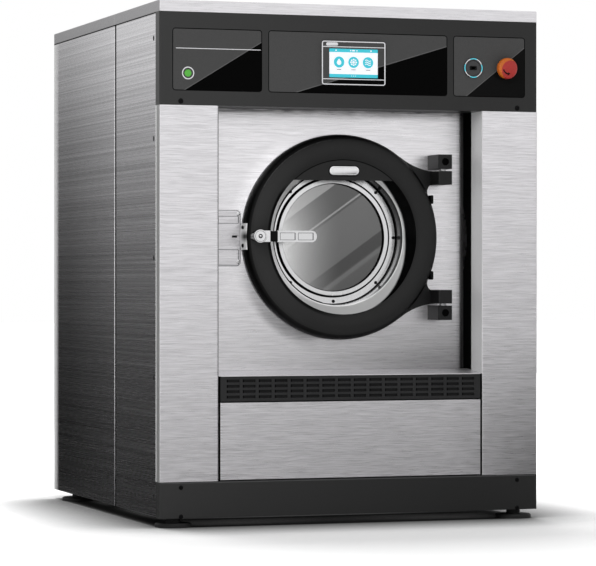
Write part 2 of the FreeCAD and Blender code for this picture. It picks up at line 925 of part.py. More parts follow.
def bent_hose(x, y_drop, y_end, z_line, z_end, bend, outer, inner):
    """A hose from a level run along Y round one bend to an upright end at y_drop."""
    way = 1 if z_end < z_line else -1
    corner = bend * math.sqrt(0.5)
    centre = (y_drop + bend, z_line - way * bend)
    line = Part.LineSegment(point(x, y_end, z_line), point(x, centre[0], z_line)).toShape()
    half_way = point(x, centre[0] - corner, centre[1] + way * corner)
    arc = Part.Arc(point(x, centre[0], z_line), half_way, point(x, y_drop, centre[1])).toShape()
    drop = Part.LineSegment(point(x, y_drop, centre[1]), point(x, y_drop, z_end)).toShape()
    path = Part.Wire([line, arc, drop])
    solids = []
    for radius in (outer, inner):
        ring = Part.Wire([Part.makeCircle(radius, point(x, y_end, z_line), point(0, 1, 0))])
        solids.append(path.makePipeShell([ring], True, False))
    return solids[0].cut(solids[1])


def drain_valve():
    low = drain_top - drain_body_length
    body = rod_z(drain_x, drain_y, drain_body_radius, (low, door_height - tub_radius + drain_body_length))
    body = body.cut(rod_y(0, door_height, tub_radius + tub_fit, (drain_y - 2 * drain_body_radius,
                                                                 drain_y + 2 * drain_body_radius)))
    spigot = rod_z(drain_x, drain_y, drain_radius, (low - drain_spigot, low + over))
    left = drain_x - drain_body_radius - drain_actuator
    half = drain_actuator / 2
    actuator = block((left, drain_x), (drain_y - half, drain_y + half), (low, low + drain_actuator))
    return body.fuse([spigot, actuator]).removeSplitter()


def drain_hose():
    outer = drain_radius + drain_hose_wall
    inner = drain_radius + seat_gap
    top = drain_top - drain_body_length - drain_spigot + drain_overlap
    end = back - sheet - outlet_flange
    return bent_hose(drain_x, drain_y, end, drain_line, top, drain_bend, outer, inner)


def drain_outlet():
    inside = back - sheet
    bore = drain_radius - drain_pipe_wall
    shoulder = drain_radius + spigot_shoulder
    flange = drain_radius + outlet_flange_width
    return turned([
        (bore, inside - outlet_flange - drain_overlap),
        (drain_radius, inside - outlet_flange - drain_overlap),
        (drain_radius, inside - outlet_flange),
        (flange, inside - outlet_flange),
        (flange, inside),
        (shoulder, inside),
        (shoulder, back + spigot_proud),
        (drain_radius, back + spigot_proud),
        (drain_radius, rear_reach),
        (bore, rear_reach),
    ], drain_x, drain_line)


def cable_gland():
    return turned([
        (gland_bore_radius, back - gland_length),
        (gland_thread_radius, back - gland_length),
        (gland_thread_radius, back),
        (gland_radius, back),
        (gland_radius, back + gland_nut),
        (gland_radius - gland_taper, back + gland_length),
        (gland_bore_radius, back + gland_length),
    ], gland_x, inlet_height)


# Suspension

def strut_places():
    return [(x, y) for x in (-cradle_beam_x, cradle_beam_x) for y in (front_strut_y, rear_strut_y)]


def damper_bodies():
    floor = base_top + spring_seat
    bodies = []
    for x, y in strut_places():
        body = rod_z(x, y, damper_radius, (floor, floor + damper_length))
        body = body.makeChamfer(damper_bevel, edges_at(body, z=floor + damper_length))
        bore = rod_z(x, y, damper_rod_radius + running_gap,
                     (floor + damper_bore_floor, floor + damper_length + over))
        bodies.append(body.cut(bore))
    return group(bodies)


def damper_rods():
    top = base_top + spring_seat + damper_length
    return group([rod_z(x, y, damper_rod_radius, (top - damper_rod_depth, cradle_bottom - spring_seat))
                  for x, y in strut_places()])


def coil(x, y, low, high):
    """A coil spring: one unbroken wire on arcs of a quarter turn."""
    first = low + spring_wire_radius + seat_gap
    last = high - spring_wire_radius - seat_gap
    rise = (last - first) / (spring_turns * 4)

    def on_helix(quarter):
        angle = quarter * math.pi / 2
        return point(x + spring_radius * math.cos(angle), y + spring_radius * math.sin(angle),
                     first + rise * quarter)
    arcs = [Part.Arc(on_helix(step), on_helix(step + 0.5), on_helix(step + 1)).toShape()
            for step in range(spring_turns * 4)]
    start = on_helix(0)
    section = Part.Wire([Part.makeCircle(spring_wire_radius, start, point(0, 1, 0))])
    return Part.Wire(arcs).makePipeShell([section], True, False)


def suspension_springs():
    low = base_top + spring_seat
    high = cradle_bottom - spring_seat
    return group([coil(x, y, low, high) for x, y in strut_places()])


def tub_cradle():
    pieces = []
    for side in (-1, 1):
        near, far = cradle_beam_x - cradle_beam / 2, cradle_beam_x + cradle_beam / 2
        pieces.append(block(span(side, near, far), (cradle_beam_front, cradle_beam_back),
                            (cradle_bottom, cradle_top)))
    for y in (front_strut_y, rear_saddle_y):
        half = saddle_thickness / 2
        pieces.append(block((-saddle_half_width, saddle_half_width), (y - half, y + half),
                            (cradle_bottom, saddle_top)))
    far = cradle_beam_x + cradle_beam / 2
    pieces.append(block((-far, far), (motor_plate_front, motor_plate_back),
                        (cradle_top, cradle_top + motor_plate_thickness)))
    for x, y in strut_places():
        pieces.append(rod_z(x, y, spring_seat_radius, (cradle_bottom - spring_seat, cradle_bottom)))
    bed = rod_y(0, door_height, tub_radius + tub_fit, (tub_front, tub_back + housing_length))
    return pieces[0].fuse(pieces[1:]).cut(bed).removeSplitter()


# Tub, drum and drive

def door_panel():
    z = (sill_front_height + sill_rise - door_panel_hidden, fascia_bottom + door_panel_hidden)
    y = (panel_face, panel_face + door_panel_return)
    half = panel_half
    skin = block((-half, half), y, z)
    skin = rounded(skin, door_panel_bend, dict(x=-half, y=y[0]), dict(x=half, y=y[0]))
    inside = half - door_panel_sheet
    hollow = block((-inside, inside), (y[0] + door_panel_sheet, y[1] + over), (z[0] - over, z[1] + over))
    hollow = rounded(hollow, door_panel_bend - door_panel_sheet, dict(x=-inside, y=y[0] + door_panel_sheet),
                     dict(x=inside, y=y[0] + door_panel_sheet))
    neck = rod_y(0, door_height, mouth_radius + door_panel_sheet, (y[0], tub_front))
    mouth = rod_y(0, door_height, mouth_radius, (y[0] - over, tub_front + over))
    slot = latch_slot((y[0] - over, y[0] + door_panel_sheet + over))
    return skin.cut(hollow).fuse(neck).cut([mouth, slot]).removeSplitter()


def tub_shell():
    start = tub_front + tub_front_plate_thickness
    inside = tub_radius - tub_wall
    end = tub_back - tub_end_plate
    hole = shaft_radius + tub_shaft_gap
    shell = turned([
        (tub_radius, start),
        (tub_radius, tub_back),
        (hole, tub_back),
        (hole, end),
        (inside, end),
        (inside, start),
    ])
    spigot = rod_z(fill_x, fill_y, hose_bore_radius - 2 * seat_gap, (door_height, fill_top))
    bore = rod_z(fill_x, fill_y, hose_bore_radius - hose_wall, (door_height, fill_top + over))
    space = rod_y(0, door_height, inside, (start, end))
    return shell.fuse(spigot.cut(space)).cut(bore).removeSplitter()


def tub_front_plate():
    face = tub_front + tub_front_plate_thickness
    collar = tub_mouth_radius + tub_wall
    return turned([
        (tub_mouth_radius, tub_front),
        (tub_radius, tub_front),
        (tub_radius, face),
        (collar, face),
        (collar, face + tub_collar_length),
        (tub_mouth_radius, face + tub_collar_length),
    ])


def door_seal():
    lip = panel_face - dish_floor + dish_sheet + seal_gap
    return turned([
        (seal_foot_inner, tub_front),
        (seal_foot_outer, tub_front),
        (seal_foot_outer, tub_front - seal_foot),
        (seal_foot_inner + seal_bend / 2, tub_front - seal_foot - seal_bend),
        (seal_lip_outer, lip),
        (seal_lip_inner, lip),
        (seal_lip_inner + seal_bend, tub_front - seal_foot / 2),
    ])


def bearing_housing():
    flange_back = tub_back + housing_flange
    sleeve = turned([
        (bearing_radius, tub_back),
        (housing_flange_radius, tub_back),
        (housing_flange_radius, flange_back),
        (housing_radius, flange_back),
        (housing_radius, housing_back),
        (bearing_radius, housing_back),
    ])
    rib = plate_yz_rib()
    ribs = [turned_copy(rib, angle) for angle in around(housing_ribs, 0)]
    return sleeve.fuse(ribs).removeSplitter()


def plate_yz_rib():
    """One gusset from the housing's flange to its sleeve."""
    near = door_height + housing_radius - 2 * over
    far = door_height + housing_flange_radius - housing_rib
    base = tub_back + housing_flange - over
    outline = [(base, near), (base, far), (housing_back - housing_rib, near)]
    face = Part.Face(wire_of(outline, lambda y, z: point(-housing_rib / 2, y, z)))
    return face.extrude(point(housing_rib, 0, 0))


def shaft_bearings():
    first = tub_back + bearing_end
    second = housing_back - bearing_end - bearing_width
    return group([pipe_y(0, door_height, bearing_radius, shaft_radius + running_gap, (y, y + bearing_width))
                  for y in (first, second)])


def drum_shell():
    inner = drum_radius - drum_wall
    bend = drum_radius - drum_shoulder
    corner = drum_shoulder * math.sqrt(0.5)
    small = drum_shoulder - drum_wall
    in_corner = small * math.sqrt(0.5)
    shoulder_y = drum_front + drum_shoulder
    return turned([
        (drum_mouth_radius, drum_front),
        (bend, drum_front),
        ((bend + corner, shoulder_y - corner), (drum_radius, shoulder_y)),
        (drum_radius, drum_back),
        (0, drum_back),
        (0, drum_back - drum_wall),
        (inner, drum_back - drum_wall),
        (inner, shoulder_y),
        ((bend + in_corner, shoulder_y - in_corner), (bend, drum_front + drum_wall)),
        (drum_mouth_radius, drum_front + drum_wall),
    ])


def lifter_outline(inset):
    """A lifter's section, drawn in by the given thickness."""
    base = door_height + drum_radius
    crest = door_height + drum_radius - drum_wall - lifter_height + inset
    half = lifter_width / 2 - inset
    shoulder = crest + lifter_crest / 2
    return [(-half, base), (half, base), (lifter_crest - inset / 2, shoulder),
            ((0, crest), (inset / 2 - lifter_crest, shoulder))]


def drum_lifters():
    y = (drum_front + drum_shoulder + lifter_end_gap, drum_back - drum_wall - lifter_end_gap)
    inside = (y[0] + lifter_sheet, y[1] - lifter_sheet)
    bed = rod_y(0, door_height, drum_radius - drum_wall, y)
    rib = plate_xz(lifter_outline(0), y).common(bed).cut(plate_xz(lifter_outline(lifter_sheet), inside))
    return group([turned_copy(rib, angle) for angle in around(lifter_count, 0)])


def drum_shaft():
    shaft = rod_y(0, door_height, shaft_radius, (drum_back, pulley_back + shaft_tail))
    spider_y = (drum_back, drum_back + spider_thickness)
    hub = rod_y(0, door_height, spider_hub_radius, spider_y)
    tip = drum_radius - 2 * drum_wall
    arm = plate_xz([
        (-spider_arm / 2, door_height),
        (spider_arm / 2, door_height),
        (spider_tip / 2, door_height + tip),
        (-spider_tip / 2, door_height + tip),
    ], spider_y)
    arms = [turned_copy(arm, angle) for angle in around(lifter_count, 0)]
    rim = rod_y(0, door_height, drum_radius - drum_wall, spider_y)
    return shaft.fuse([hub] + arms).common(rim.fuse(shaft)).removeSplitter()


def grooved_pulley(x, z, radius, bore):
    """A belt pulley with a flange on each side, solid out to its rim."""
    edge = radius + pulley_flange
    groove = (pulley_front + pulley_flange_width, pulley_back - pulley_flange_width)
    return turned([
        (bore, pulley_front),
        (edge, pulley_front),
        (edge, groove[0]),
        (radius, groove[0]),
        (radius, groove[1]),
        (edge, groove[1]),
        (edge, pulley_back),
        (bore, pulley_back),
    ], x, z)


def drum_pulley():
    wheel = grooved_pulley(0, door_height, drum_pulley_radius, shaft_radius)
    hollow_depth = (pulley_width - pulley_web) / 2
    inside = drum_pulley_radius - pulley_rim
    cuts = []
    front_hollow = (pulley_front - over, pulley_front + hollow_depth)
    back_hollow = (pulley_back - hollow_depth, pulley_back + over)
    for y in (front_hollow, back_hollow):
        cuts.append(pipe_y(0, door_height, inside, pulley_hub_radius, y))
    hole_height = door_height + (inside + pulley_hub_radius) / 2
    hole = rod_y(0, hole_height, pulley_hole_radius, (pulley_front, pulley_back))
    cuts.extend(turned_copy(hole, angle) for angle in around(pulley_holes, 0))
    return wheel.cut(cuts)


def motor_pulley():
    wheel = grooved_pulley(motor_x, motor_z, motor_pulley_radius, motor_shaft_radius - over)
    shaft = rod_y(motor_x, motor_z, motor_shaft_radius,
                  (motor_back - motor_shaft_seat, pulley_back + shaft_tail))
    return wheel.fuse(shaft).removeSplitter()


def belt_outline(extra, y):
    """A loop round both pulleys, standing off their rims by the extra radius."""
    large = drum_pulley_radius + extra
    small = motor_pulley_radius + extra
    along = math.atan2(motor_z - door_height, motor_x)
    open_angle = math.acos((large - small) / math.hypot(motor_x, motor_z - door_height))

    def on_rim(x, z, radius, angle):
        return (x + radius * math.cos(angle), z + radius * math.sin(angle))
    return plate_xz([
        on_rim(0, door_height, large, along + open_angle),
        on_rim(motor_x, motor_z, small, along + open_angle),
        (on_rim(motor_x, motor_z, small, along), on_rim(motor_x, motor_z, small, along - open_angle)),
        on_rim(0, door_height, large, along - open_angle),
        (on_rim(0, door_height, large, along + math.pi), on_rim(0, door_height, large, along + open_angle)),
    ], y)


def drive_belt():
    inset = pulley_flange_width + belt_gap
    y = (pulley_front + inset, pulley_back - inset)
    return belt_outline(belt_gap + belt_thickness, y).cut(belt_outline(belt_gap, y))


def motor():
    seat = motor_back - motor_shaft_seat - motor_shaft_end
    body = turned([
        (0, motor_front),
        (motor_fan_radius, motor_front),
        (motor_radius, motor_front + motor_bell),
        (motor_radius, motor_back - motor_bell),
        (motor_nose_radius, motor_back),
        (0, motor_back),
    ], motor_x, motor_z)
    bore = rod_y(motor_x, motor_z, motor_shaft_radius + running_gap, (seat, motor_back + over))
    half = motor_foot_width / 2
    feet = block((motor_x - half, motor_x + half), (motor_plate_front, motor_plate_back),
                 (motor_z, cradle_top))
    left = motor_x - motor_radius - terminal_box / 2
    box = block((left, motor_x), (motor_plate_front, motor_plate_front + terminal_box),
                (motor_z - terminal_box / 2, motor_z + terminal_box / 2))
    return body.fuse([feet, box]).cut(bore).removeSplitter()


# Door

def brow():
    """The flat segment above the window, behind the ring's inner edge."""
    y = (panel_face - ring_shoulder + ring_lip - brow_thickness, panel_face - ring_shoulder + ring_lip)
    disc = rod_y(0, door_height, ring_wall_radius + over, y)
    above = block((-ring_radius, ring_radius), (y[0] - over, y[1] + over),
                  (door_height + brow_height, door_height + ring_radius))
    groove = pipe_y(0, door_height, ring_inner_radius, ring_inner_radius - brow_groove,
                    (y[0] - over, y[0] + brow_thickness / 2))
    return disc.common(above).cut(groove)


def ring_side(extra):
    """The arc up the ring's outer side to its shoulder, moved outward by the extra."""
    radius = (ring_radius + ring_shoulder_radius) / 2 + ring_side_bulge + extra
    depth = (ring_widest + ring_shoulder) / 2 + ring_side_bulge
    return ((radius, depth), (ring_shoulder_radius + extra, ring_shoulder))


def door_ring():
    lip = ring_shoulder - ring_lip
    back_middle = (ring_radius - ring_back_edge * ring_back_bulge,
                   ring_back + (ring_widest - ring_back) * ring_back_bulge)
    ring = turned_forward([
        (ring_wall_radius, ring_back),
        (ring_radius - ring_back_edge, ring_back),
        (back_middle, (ring_radius, ring_widest)),
        ring_side(0),
        ((ring_crown_radius, ring_crown), (ring_inner_radius, ring_shoulder)),
        (ring_inner_radius, lip),
        (ring_wall_radius, lip),
    ])
    bore = rod_y(handle_x, door_height, handle_spindle_radius + running_gap,
                 (panel_face - ring_crown - over, panel_face - ring_back + over))
    return ring.fuse(brow()).cut(bore).removeSplitter()


def door_dish():
    rim = ring_shoulder - ring_lip
    edge = ring_wall_radius - seat_gap
    cone = ring_inner_radius - seat_gap
    waist = dish_waist_radius
    groove = waist + dish_groove
    step = -dish_groove_width
    floor_radius = dish_wall_radius - dish_wall_taper
    t = dish_sheet
    dish = turned_forward([
        (edge, rim),
        (cone, rim),
        (waist, dish_lip),
        (groove, dish_lip / 2),
        (groove, step + dish_lip),
        (dish_wall_radius, step),
        (floor_radius, dish_floor),
        (dish_hole_radius, dish_floor),
        (dish_hole_radius, dish_floor - t),
        (floor_radius + t, dish_floor - t),
        (dish_wall_radius + t, step - t / 2),
        (groove + t, step + dish_lip / 2),
        (groove + t, dish_lip / 2 + t),
        (waist + t, dish_lip + t),
        (cone + t, rim - t),
        (edge, rim - t),
    ])
    return dish.cut(brow())


def window_rings():
    clamp_face = dish_floor + clamp_ring_thickness
    clamp = turned_forward([
        (clamp_ring_inner, dish_floor),
        (clamp_ring_outer, dish_floor),
        (clamp_ring_outer, clamp_face),
        (clamp_ring_inner, clamp_face),
    ])
    bezel_edge = bezel_ring_thickness / 2
    bezel = turned_forward([
        (bezel_ring_inner, dish_floor),
        (bezel_ring_outer, dish_floor),
        (bezel_ring_outer, dish_floor + bezel_edge),
        (bezel_ring_outer - bezel_edge, dish_floor + bezel_ring_thickness),
        (bezel_ring_inner + bezel_ring_slope, dish_floor + bezel_ring_thickness),
    ])
    return group([clamp, bezel])


def door_glass():
    face = dish_floor - dish_sheet - glass_seat
    rear = face - glass_thickness
    return turned_forward([
        (0, face),
        (glass_radius - glass_edge, face),
        (glass_radius, face - glass_edge),
        (glass_radius, rear + glass_edge),
        (glass_radius - glass_edge, rear),
        (0, rear),
    ])


def glass_gasket():
    """A channel of rubber round the rim of the glass."""
    face = dish_floor - dish_sheet
    glass_face = face - glass_seat
    glass_back = glass_face - glass_thickness
    return turned_forward([
        (gasket_lip_radius, face),
        (gasket_radius, face),
        (gasket_radius, face - gasket_length),
        (gasket_lip_radius, face - gasket_length),
        (gasket_lip_radius, glass_back),
        (glass_radius, glass_back),
        (glass_radius, glass_face),
        (gasket_lip_radius, glass_face),
    ])


def ring_point(angle):
    """A point on the door ring's widest circle, from the door's middle."""
    return (ring_radius * math.cos(math.radians(angle)), ring_radius * math.sin(math.radians(angle)))


def fillet_arc(angle, end):
    """The middle of the arc that leaves the ring along its edge at the angle and reaches the end."""
    start = ring_point(angle)
    outward = (math.cos(math.radians(angle)), math.sin(math.radians(angle)))
    chord = (end[0] - start[0], end[1] - start[1])
    radius = (chord[0] ** 2 + chord[1] ** 2) / (2 * (chord[0] * outward[0] + chord[1] * outward[1]))
    centre = (start[0] + radius * outward[0], start[1] + radius * outward[1])
    toward = ((start[0] + end[0]) / 2 - centre[0], (start[1] + end[1]) / 2 - centre[1])
    length = math.hypot(*toward)
    return (centre[0] + radius * toward[0] / length, centre[1] + radius * toward[1] / length)


def hinge_arm_plate():
    """The web from the ring to a knuckle, drawn for the upper hinge from the door's middle."""
    top = (hinge_x, knuckle_offset + knuckle_height / 2)
    bottom = (hinge_x - hinge_block_width / 2, knuckle_offset - knuckle_height / 2)
    root = ring_point(arm_root_angle)
    toe = ring_point(arm_toe_angle)
    return [
        root,
        (fillet_arc(arm_root_angle, top), top),
        (hinge_x, bottom[1]),
        bottom,
        (fillet_arc(arm_toe_angle, bottom), toe),
        (toe[0] - arm_root_depth, toe[1]),
        (root[0] - arm_root_depth / 2, root[1] - arm_root_depth),
    ]


def hinge_arms():
    ring = door_ring()
    half = hinge_block_width / 2
    x = (hinge_x - half, hinge_x + half)
    y = (panel_face - hinge_block_reach, panel_face - knuckle_back)
    z = (door_height + knuckle_offset - knuckle_height / 2, door_height + knuckle_offset + knuckle_height / 2)
    knuckle = block(x, y, z)
    knuckle = rounded(knuckle, knuckle_corner, dict(x=x[0], y=y[1]), dict(x=x[1], y=y[1]))
    knuckle = rounded(knuckle, hinge_block_corner, dict(x=x[0], y=y[0]), dict(x=x[1], y=y[0]))
    outline = wire_of(hinge_arm_plate(), lambda u, v: point(u, panel_face - arm_back, door_height + v))
    plate = Part.Face(outline).extrude(point(0, -arm_thickness, 0))
    bore = rod_z(hinge_x, hinge_y, hinge_pin_radius + running_gap, (z[0] - over, z[1] + over))
    upper = knuckle.fuse(plate).cut([bore, ring]).removeSplitter()
    return group([upper, upper.mirror(point(0, 0, door_height), point(0, 0, 1))])


def hinge_blocks():
    blocks = []
    half = hinge_block_width / 2
    x = (hinge_x - half, hinge_x + half)
    y = (panel_face - hinge_block_reach, panel_face)
    for way in (1, -1):
        middle = door_height + way * hinge_block_offset
        z = (middle - hinge_block_height / 2, middle + hinge_block_height / 2)
        solid = block(x, y, z)
        solid = rounded(solid, hinge_block_corner, dict(x=x[0], y=y[0]), dict(x=x[1], y=y[0]))
        recess = rod_y(hinge_x, middle, hinge_bolt_radius, (y[0] - over, y[0] + hinge_bolt_depth))
        bore = rod_z(hinge_x, hinge_y, hinge_pin_radius, (z[0] - over, z[1] + over))
        blocks.append(solid.cut([recess, bore]))
    return group(blocks)


def hinge_pins():
    pins = []
    for way in (1, -1):
        inner = door_height + way * (knuckle_offset - knuckle_height / 2 + hinge_pin_inset)
        outer = door_height + way * (hinge_block_offset + hinge_block_height / 2)
        pins.append(rod_z(hinge_x, hinge_y, hinge_pin_radius, (min(inner, outer), max(inner, outer))))
    return group(pins)


def lock_plate():
    y = (panel_face - lock_plate_sheet, panel_face)
    x = (-lock_plate_outer, -lock_plate_inner)
    z = (door_height - lock_plate_bottom, door_height + lock_plate_top)
    plate = rounded(block(x, y, z), lock_plate_corner, dict(x=x[1], z=z[0]), dict(x=x[1], z=z[1]))
    raised = (y[0] - lock_emboss, y[0] + lock_emboss)
    upper = block((x[0] + lock_plate_corner, -lock_emboss_end), raised,
                  (door_height + lock_plate_top / 2, z[1] - lock_emboss_margin))
    lower = block((x[0] + lock_plate_corner, -lock_emboss_end), raised,
                  (z[0] + lock_plate_corner, door_height - lock_plate_bottom / 2))
    return plate.fuse([upper, lower]).cut(latch_slot((y[0] - over, y[1] + over))).removeSplitter()


def latch_slot(y):
    """The way in for the latch."""
    half = lock_slot_length / 2
    return block((-lock_slot_x - half, -lock_slot_x + half), y,
                 (door_height - lock_slot_height / 2, door_height + lock_slot_height / 2))


def lock_box():
    y = (panel_face + door_panel_sheet, panel_face + door_panel_sheet + lock_box_depth)
    middle = lock_box_width / 2 - lock_plate_outer
    case = slab_y(middle, door_height, lock_box_width, lock_box_height, lock_box_corner, y)
    return case.cut(latch_slot((y[0] - over, y[0] + lock_box_depth / 2)))


def latch_keeper():
    """A plate of even thickness wrapped over the left side of the ring."""
    outer = ring_radius + keeper_thickness
    band = turned_forward([
        (ring_shoulder_radius, keeper_back),
        (outer, keeper_back),
        (outer, ring_widest),
        ring_side(keeper_thickness),
        (ring_shoulder_radius, ring_shoulder),
    ])
    half = keeper_height / 2
    part = block((-outer - over, -ring_inner_radius), (panel_face - keeper_front, panel_face),
                 (door_height - half, door_height + half))
    return band.common(part).cut(door_ring())


# Handle

def handle_hub():
    x = (handle_x - handle_hub_left, handle_x + handle_hub_right)
    y = (handle_front, handle_front + handle_hub_depth)
    half = handle_hub_height / 2
    bar = block(x, y, (door_height - half, door_height + half))
    nose = half - handle_end_flat / 2
    bar = rounded(bar, nose, dict(x=x[0], z=door_height - half), dict(x=x[0], z=door_height + half))
    boss = rod_y(handle_x, door_height, handle_boss_radius,
                 (y[1] - over, panel_face - ring_crown - handle_boss_gap))
    spindle = rod_y(handle_x, door_height, handle_spindle_radius,
                    (y[1] - over, panel_face - ring_back - handle_boss_gap))
    cap = rod_y(handle_x, door_height, handle_cap_radius, (y[0] - handle_cap, y[0] + over))
    cap = cap.makeFillet(handle_cap_edge, edges_at(cap, y=y[0] - handle_cap))
    return bar.fuse([boss, spindle, cap]).removeSplitter()


def handle_collar():
    half = collar_height / 2
    middle = handle_front + handle_hub_depth / 2
    x = (collar_left + seat_gap, lever_left)
    y = (middle - collar_depth / 2, middle + collar_depth / 2)
    collar = block(x, y, (door_height - half, door_height + half))
    corners = [dict(y=a, z=b) for a in y for b in (door_height - half, door_height + half)]
    return rounded(collar, collar_edge, *corners)


def handle_lever():
    half = lever_height / 2
    middle = handle_front + handle_hub_depth / 2
    y = (middle - lever_thickness / 2, middle + lever_thickness / 2)
    x = (lever_left, lever_left + lever_length)
    bar = block(x, y, (door_height - half, door_height + half))
    nose = half - handle_end_flat / 2
    bar = rounded(bar, nose, dict(x=x[1], z=door_height - half), dict(x=x[1], z=door_height + half))
    cuts = []
    for index in range(2):
        start = x[0] + lever_recess_gap + index * (lever_recess_length + lever_recess_gap)
        cuts.append(block((start, start + lever_recess_length), (y[0] - over, y[0] + lever_recess),
                          (door_height - lever_recess_height / 2, door_height + lever_recess_height / 2)))
    return bar.cut(cuts)


def build_nodes():
    lower_z = (lower_panel_bottom, lower_panel_top)
    front_side = front_side_panel(1)
    rear_side = rear_side_panel(1)
    return {
        "base_frame": base_frame(),
        "levelling_feet": levelling_feet(),
        "upper_frame": upper_frame(),
        "plinth_panel": plinth_panel(),
        "left_pillar": pillar(-1),
        "right_pillar": pillar(1),
        "recess_sill": recess_sill(),
        "vent_grille": vent_grille(),
        "lower_front_panel": tray(panel_half, lower_z, sheet, front_flange),
        "control_fascia": control_fascia(),
        "fascia_windows": fascia_windows(),
        "touchscreen_bezel": touchscreen_bezel(),
        "touchscreen_display": touchscreen_display(),
        "usb_socket": usb_socket(),
        "stop_button_base": stop_button_base(),
        "stop_button_stem": stop_button_stem(),
        "stop_button_head": stop_button_head(),
        "front_top_cover": top_cover((front, lid_joint_y - joint_gap), bend_radius, bend_radius - sheet),
        "rear_top_cover": top_cover((lid_joint_y, back), bend_radius - sheet, rear_corner_radius),
        "front_side_panels": group([mirrored(front_side), front_side]),
        "rear_side_panels": group([mirrored(rear_side), rear_side]),
        "rear_panel": rear_panel(),
        "control_box": control_box(),
        "water_inlet_valves": water_inlet_valves(),
        "fill_hose": fill_hose(),
        "drain_valve": drain_valve(),
        "drain_hose": drain_hose(),
        "drain_outlet": drain_outlet(),
        "cable_gland": cable_gland(),
        "damper_bodies": damper_bodies(),
        "damper_rods": damper_rods(),
        "suspension_springs": suspension_springs(),
        "tub_cradle": tub_cradle(),
        "door_panel": door_panel(),
        "tub_shell": tub_shell(),
        "tub_front_plate": tub_front_plate(),
        "door_seal": door_seal(),
        "bearing_housing": bearing_housing(),
        "shaft_bearings": shaft_bearings(),
        "motor": motor(),
        "motor_pulley": motor_pulley(),
        "drive_belt": drive_belt(),
        "drum_shell": drum_shell(),
        "drum_lifters": drum_lifters(),
        "drum_shaft": drum_shaft(),
        "drum_pulley": drum_pulley(),
        "door_ring": door_ring(),
        "door_dish": door_dish(),
        "window_rings": window_rings(),
        "door_glass": door_glass(),
        "glass_gasket": glass_gasket(),
        "hinge_arms": hinge_arms(),
        "hinge_blocks": hinge_blocks(),
        "hinge_pins": hinge_pins(),
        "lock_plate": lock_plate(),
        "lock_box": lock_box(),
        "latch_keeper": latch_keeper(),
        "handle_hub": handle_hub(),
        "handle_collar": handle_collar(),
        "handle_lever": handle_lever(),
    }


os.makedirs("parts", exist_ok=True)
for name, shape in build_nodes().items():
    shape.exportStep("parts/" + name + ".step")
    print(name, len(shape.Solids), shape.isValid(), round(shape.Volume / 1000.0, 1))
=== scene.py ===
import math

import bmesh
import bpy
from mathutils import Matrix, Vector


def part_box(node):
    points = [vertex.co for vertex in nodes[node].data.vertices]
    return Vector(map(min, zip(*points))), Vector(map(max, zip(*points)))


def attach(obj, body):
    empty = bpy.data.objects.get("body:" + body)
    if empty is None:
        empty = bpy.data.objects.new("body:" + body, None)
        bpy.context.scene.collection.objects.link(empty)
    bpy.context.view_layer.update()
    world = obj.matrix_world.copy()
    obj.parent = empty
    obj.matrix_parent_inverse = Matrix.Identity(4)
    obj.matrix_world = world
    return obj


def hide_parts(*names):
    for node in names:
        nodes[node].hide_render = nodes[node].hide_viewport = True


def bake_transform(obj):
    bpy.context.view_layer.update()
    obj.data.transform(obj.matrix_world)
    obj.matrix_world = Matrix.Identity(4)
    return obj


# The look of a washer-extractor: metres, X to the right, Y to the back, Z up, as in the frame.

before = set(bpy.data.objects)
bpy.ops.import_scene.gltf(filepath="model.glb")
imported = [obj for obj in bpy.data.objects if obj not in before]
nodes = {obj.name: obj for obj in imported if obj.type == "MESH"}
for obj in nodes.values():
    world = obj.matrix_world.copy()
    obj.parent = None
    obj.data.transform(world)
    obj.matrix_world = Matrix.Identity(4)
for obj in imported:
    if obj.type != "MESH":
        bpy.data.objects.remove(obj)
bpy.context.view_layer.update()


def centre(low, high):
    """The middle of a box seen from the front, as X and Z."""
    return (low.x + high.x) / 2, (low.z + high.z) / 2


# Camera that was fitted to the photograph
image_width = 596
focal_pixels = 2916
camera_turn = 18.8
camera_left = 2.817
camera_distance = 7.796
camera_height = 0.683
sensor_width = 36.0

# Places taken from the frame
pillar_low, pillar_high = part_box("left_pillar")
right_pillar_low, right_pillar_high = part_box("right_pillar")
panel_low, panel_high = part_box("door_panel")
lower_low, lower_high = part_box("lower_front_panel")
front_side_low, front_side_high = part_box("front_side_panels")
plinth_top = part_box("plinth_panel")[1].z
fascia_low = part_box("control_fascia")[0].z
vent_low, vent_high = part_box("vent_grille")
window_low, window_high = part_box("fascia_windows")
bezel_low, bezel_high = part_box("touchscreen_bezel")
screen_low, screen_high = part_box("touchscreen_display")
socket_low, socket_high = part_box("usb_socket")
stop_low, stop_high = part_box("stop_button_head")
ring_low, ring_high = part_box("door_ring")
block_low, block_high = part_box("hinge_blocks")
lock_low, lock_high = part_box("lock_plate")
keeper_low, keeper_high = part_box("latch_keeper")
hub_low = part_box("handle_hub")[0]
lever_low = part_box("handle_lever")[0]
drum_low, drum_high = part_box("drum_shell")
spring_low, spring_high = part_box("suspension_springs")
front_y = pillar_low.y
left_x = pillar_low.x
right_x = right_pillar_high.x
panel_y = panel_low.y
door_x, door_z = centre(ring_low, ring_high)
ring_radius = (ring_high.x - ring_low.x) / 2
stop_x, stop_z = centre(stop_low, stop_high)
stop_radius = (stop_high.x - stop_low.x) / 2

# Thickness of printed lines and thin films, and how deep applied pieces are sunk
film = 0.0003
sink = 0.0004

# Depth of the grain of coats
coat_grain = 0.0003

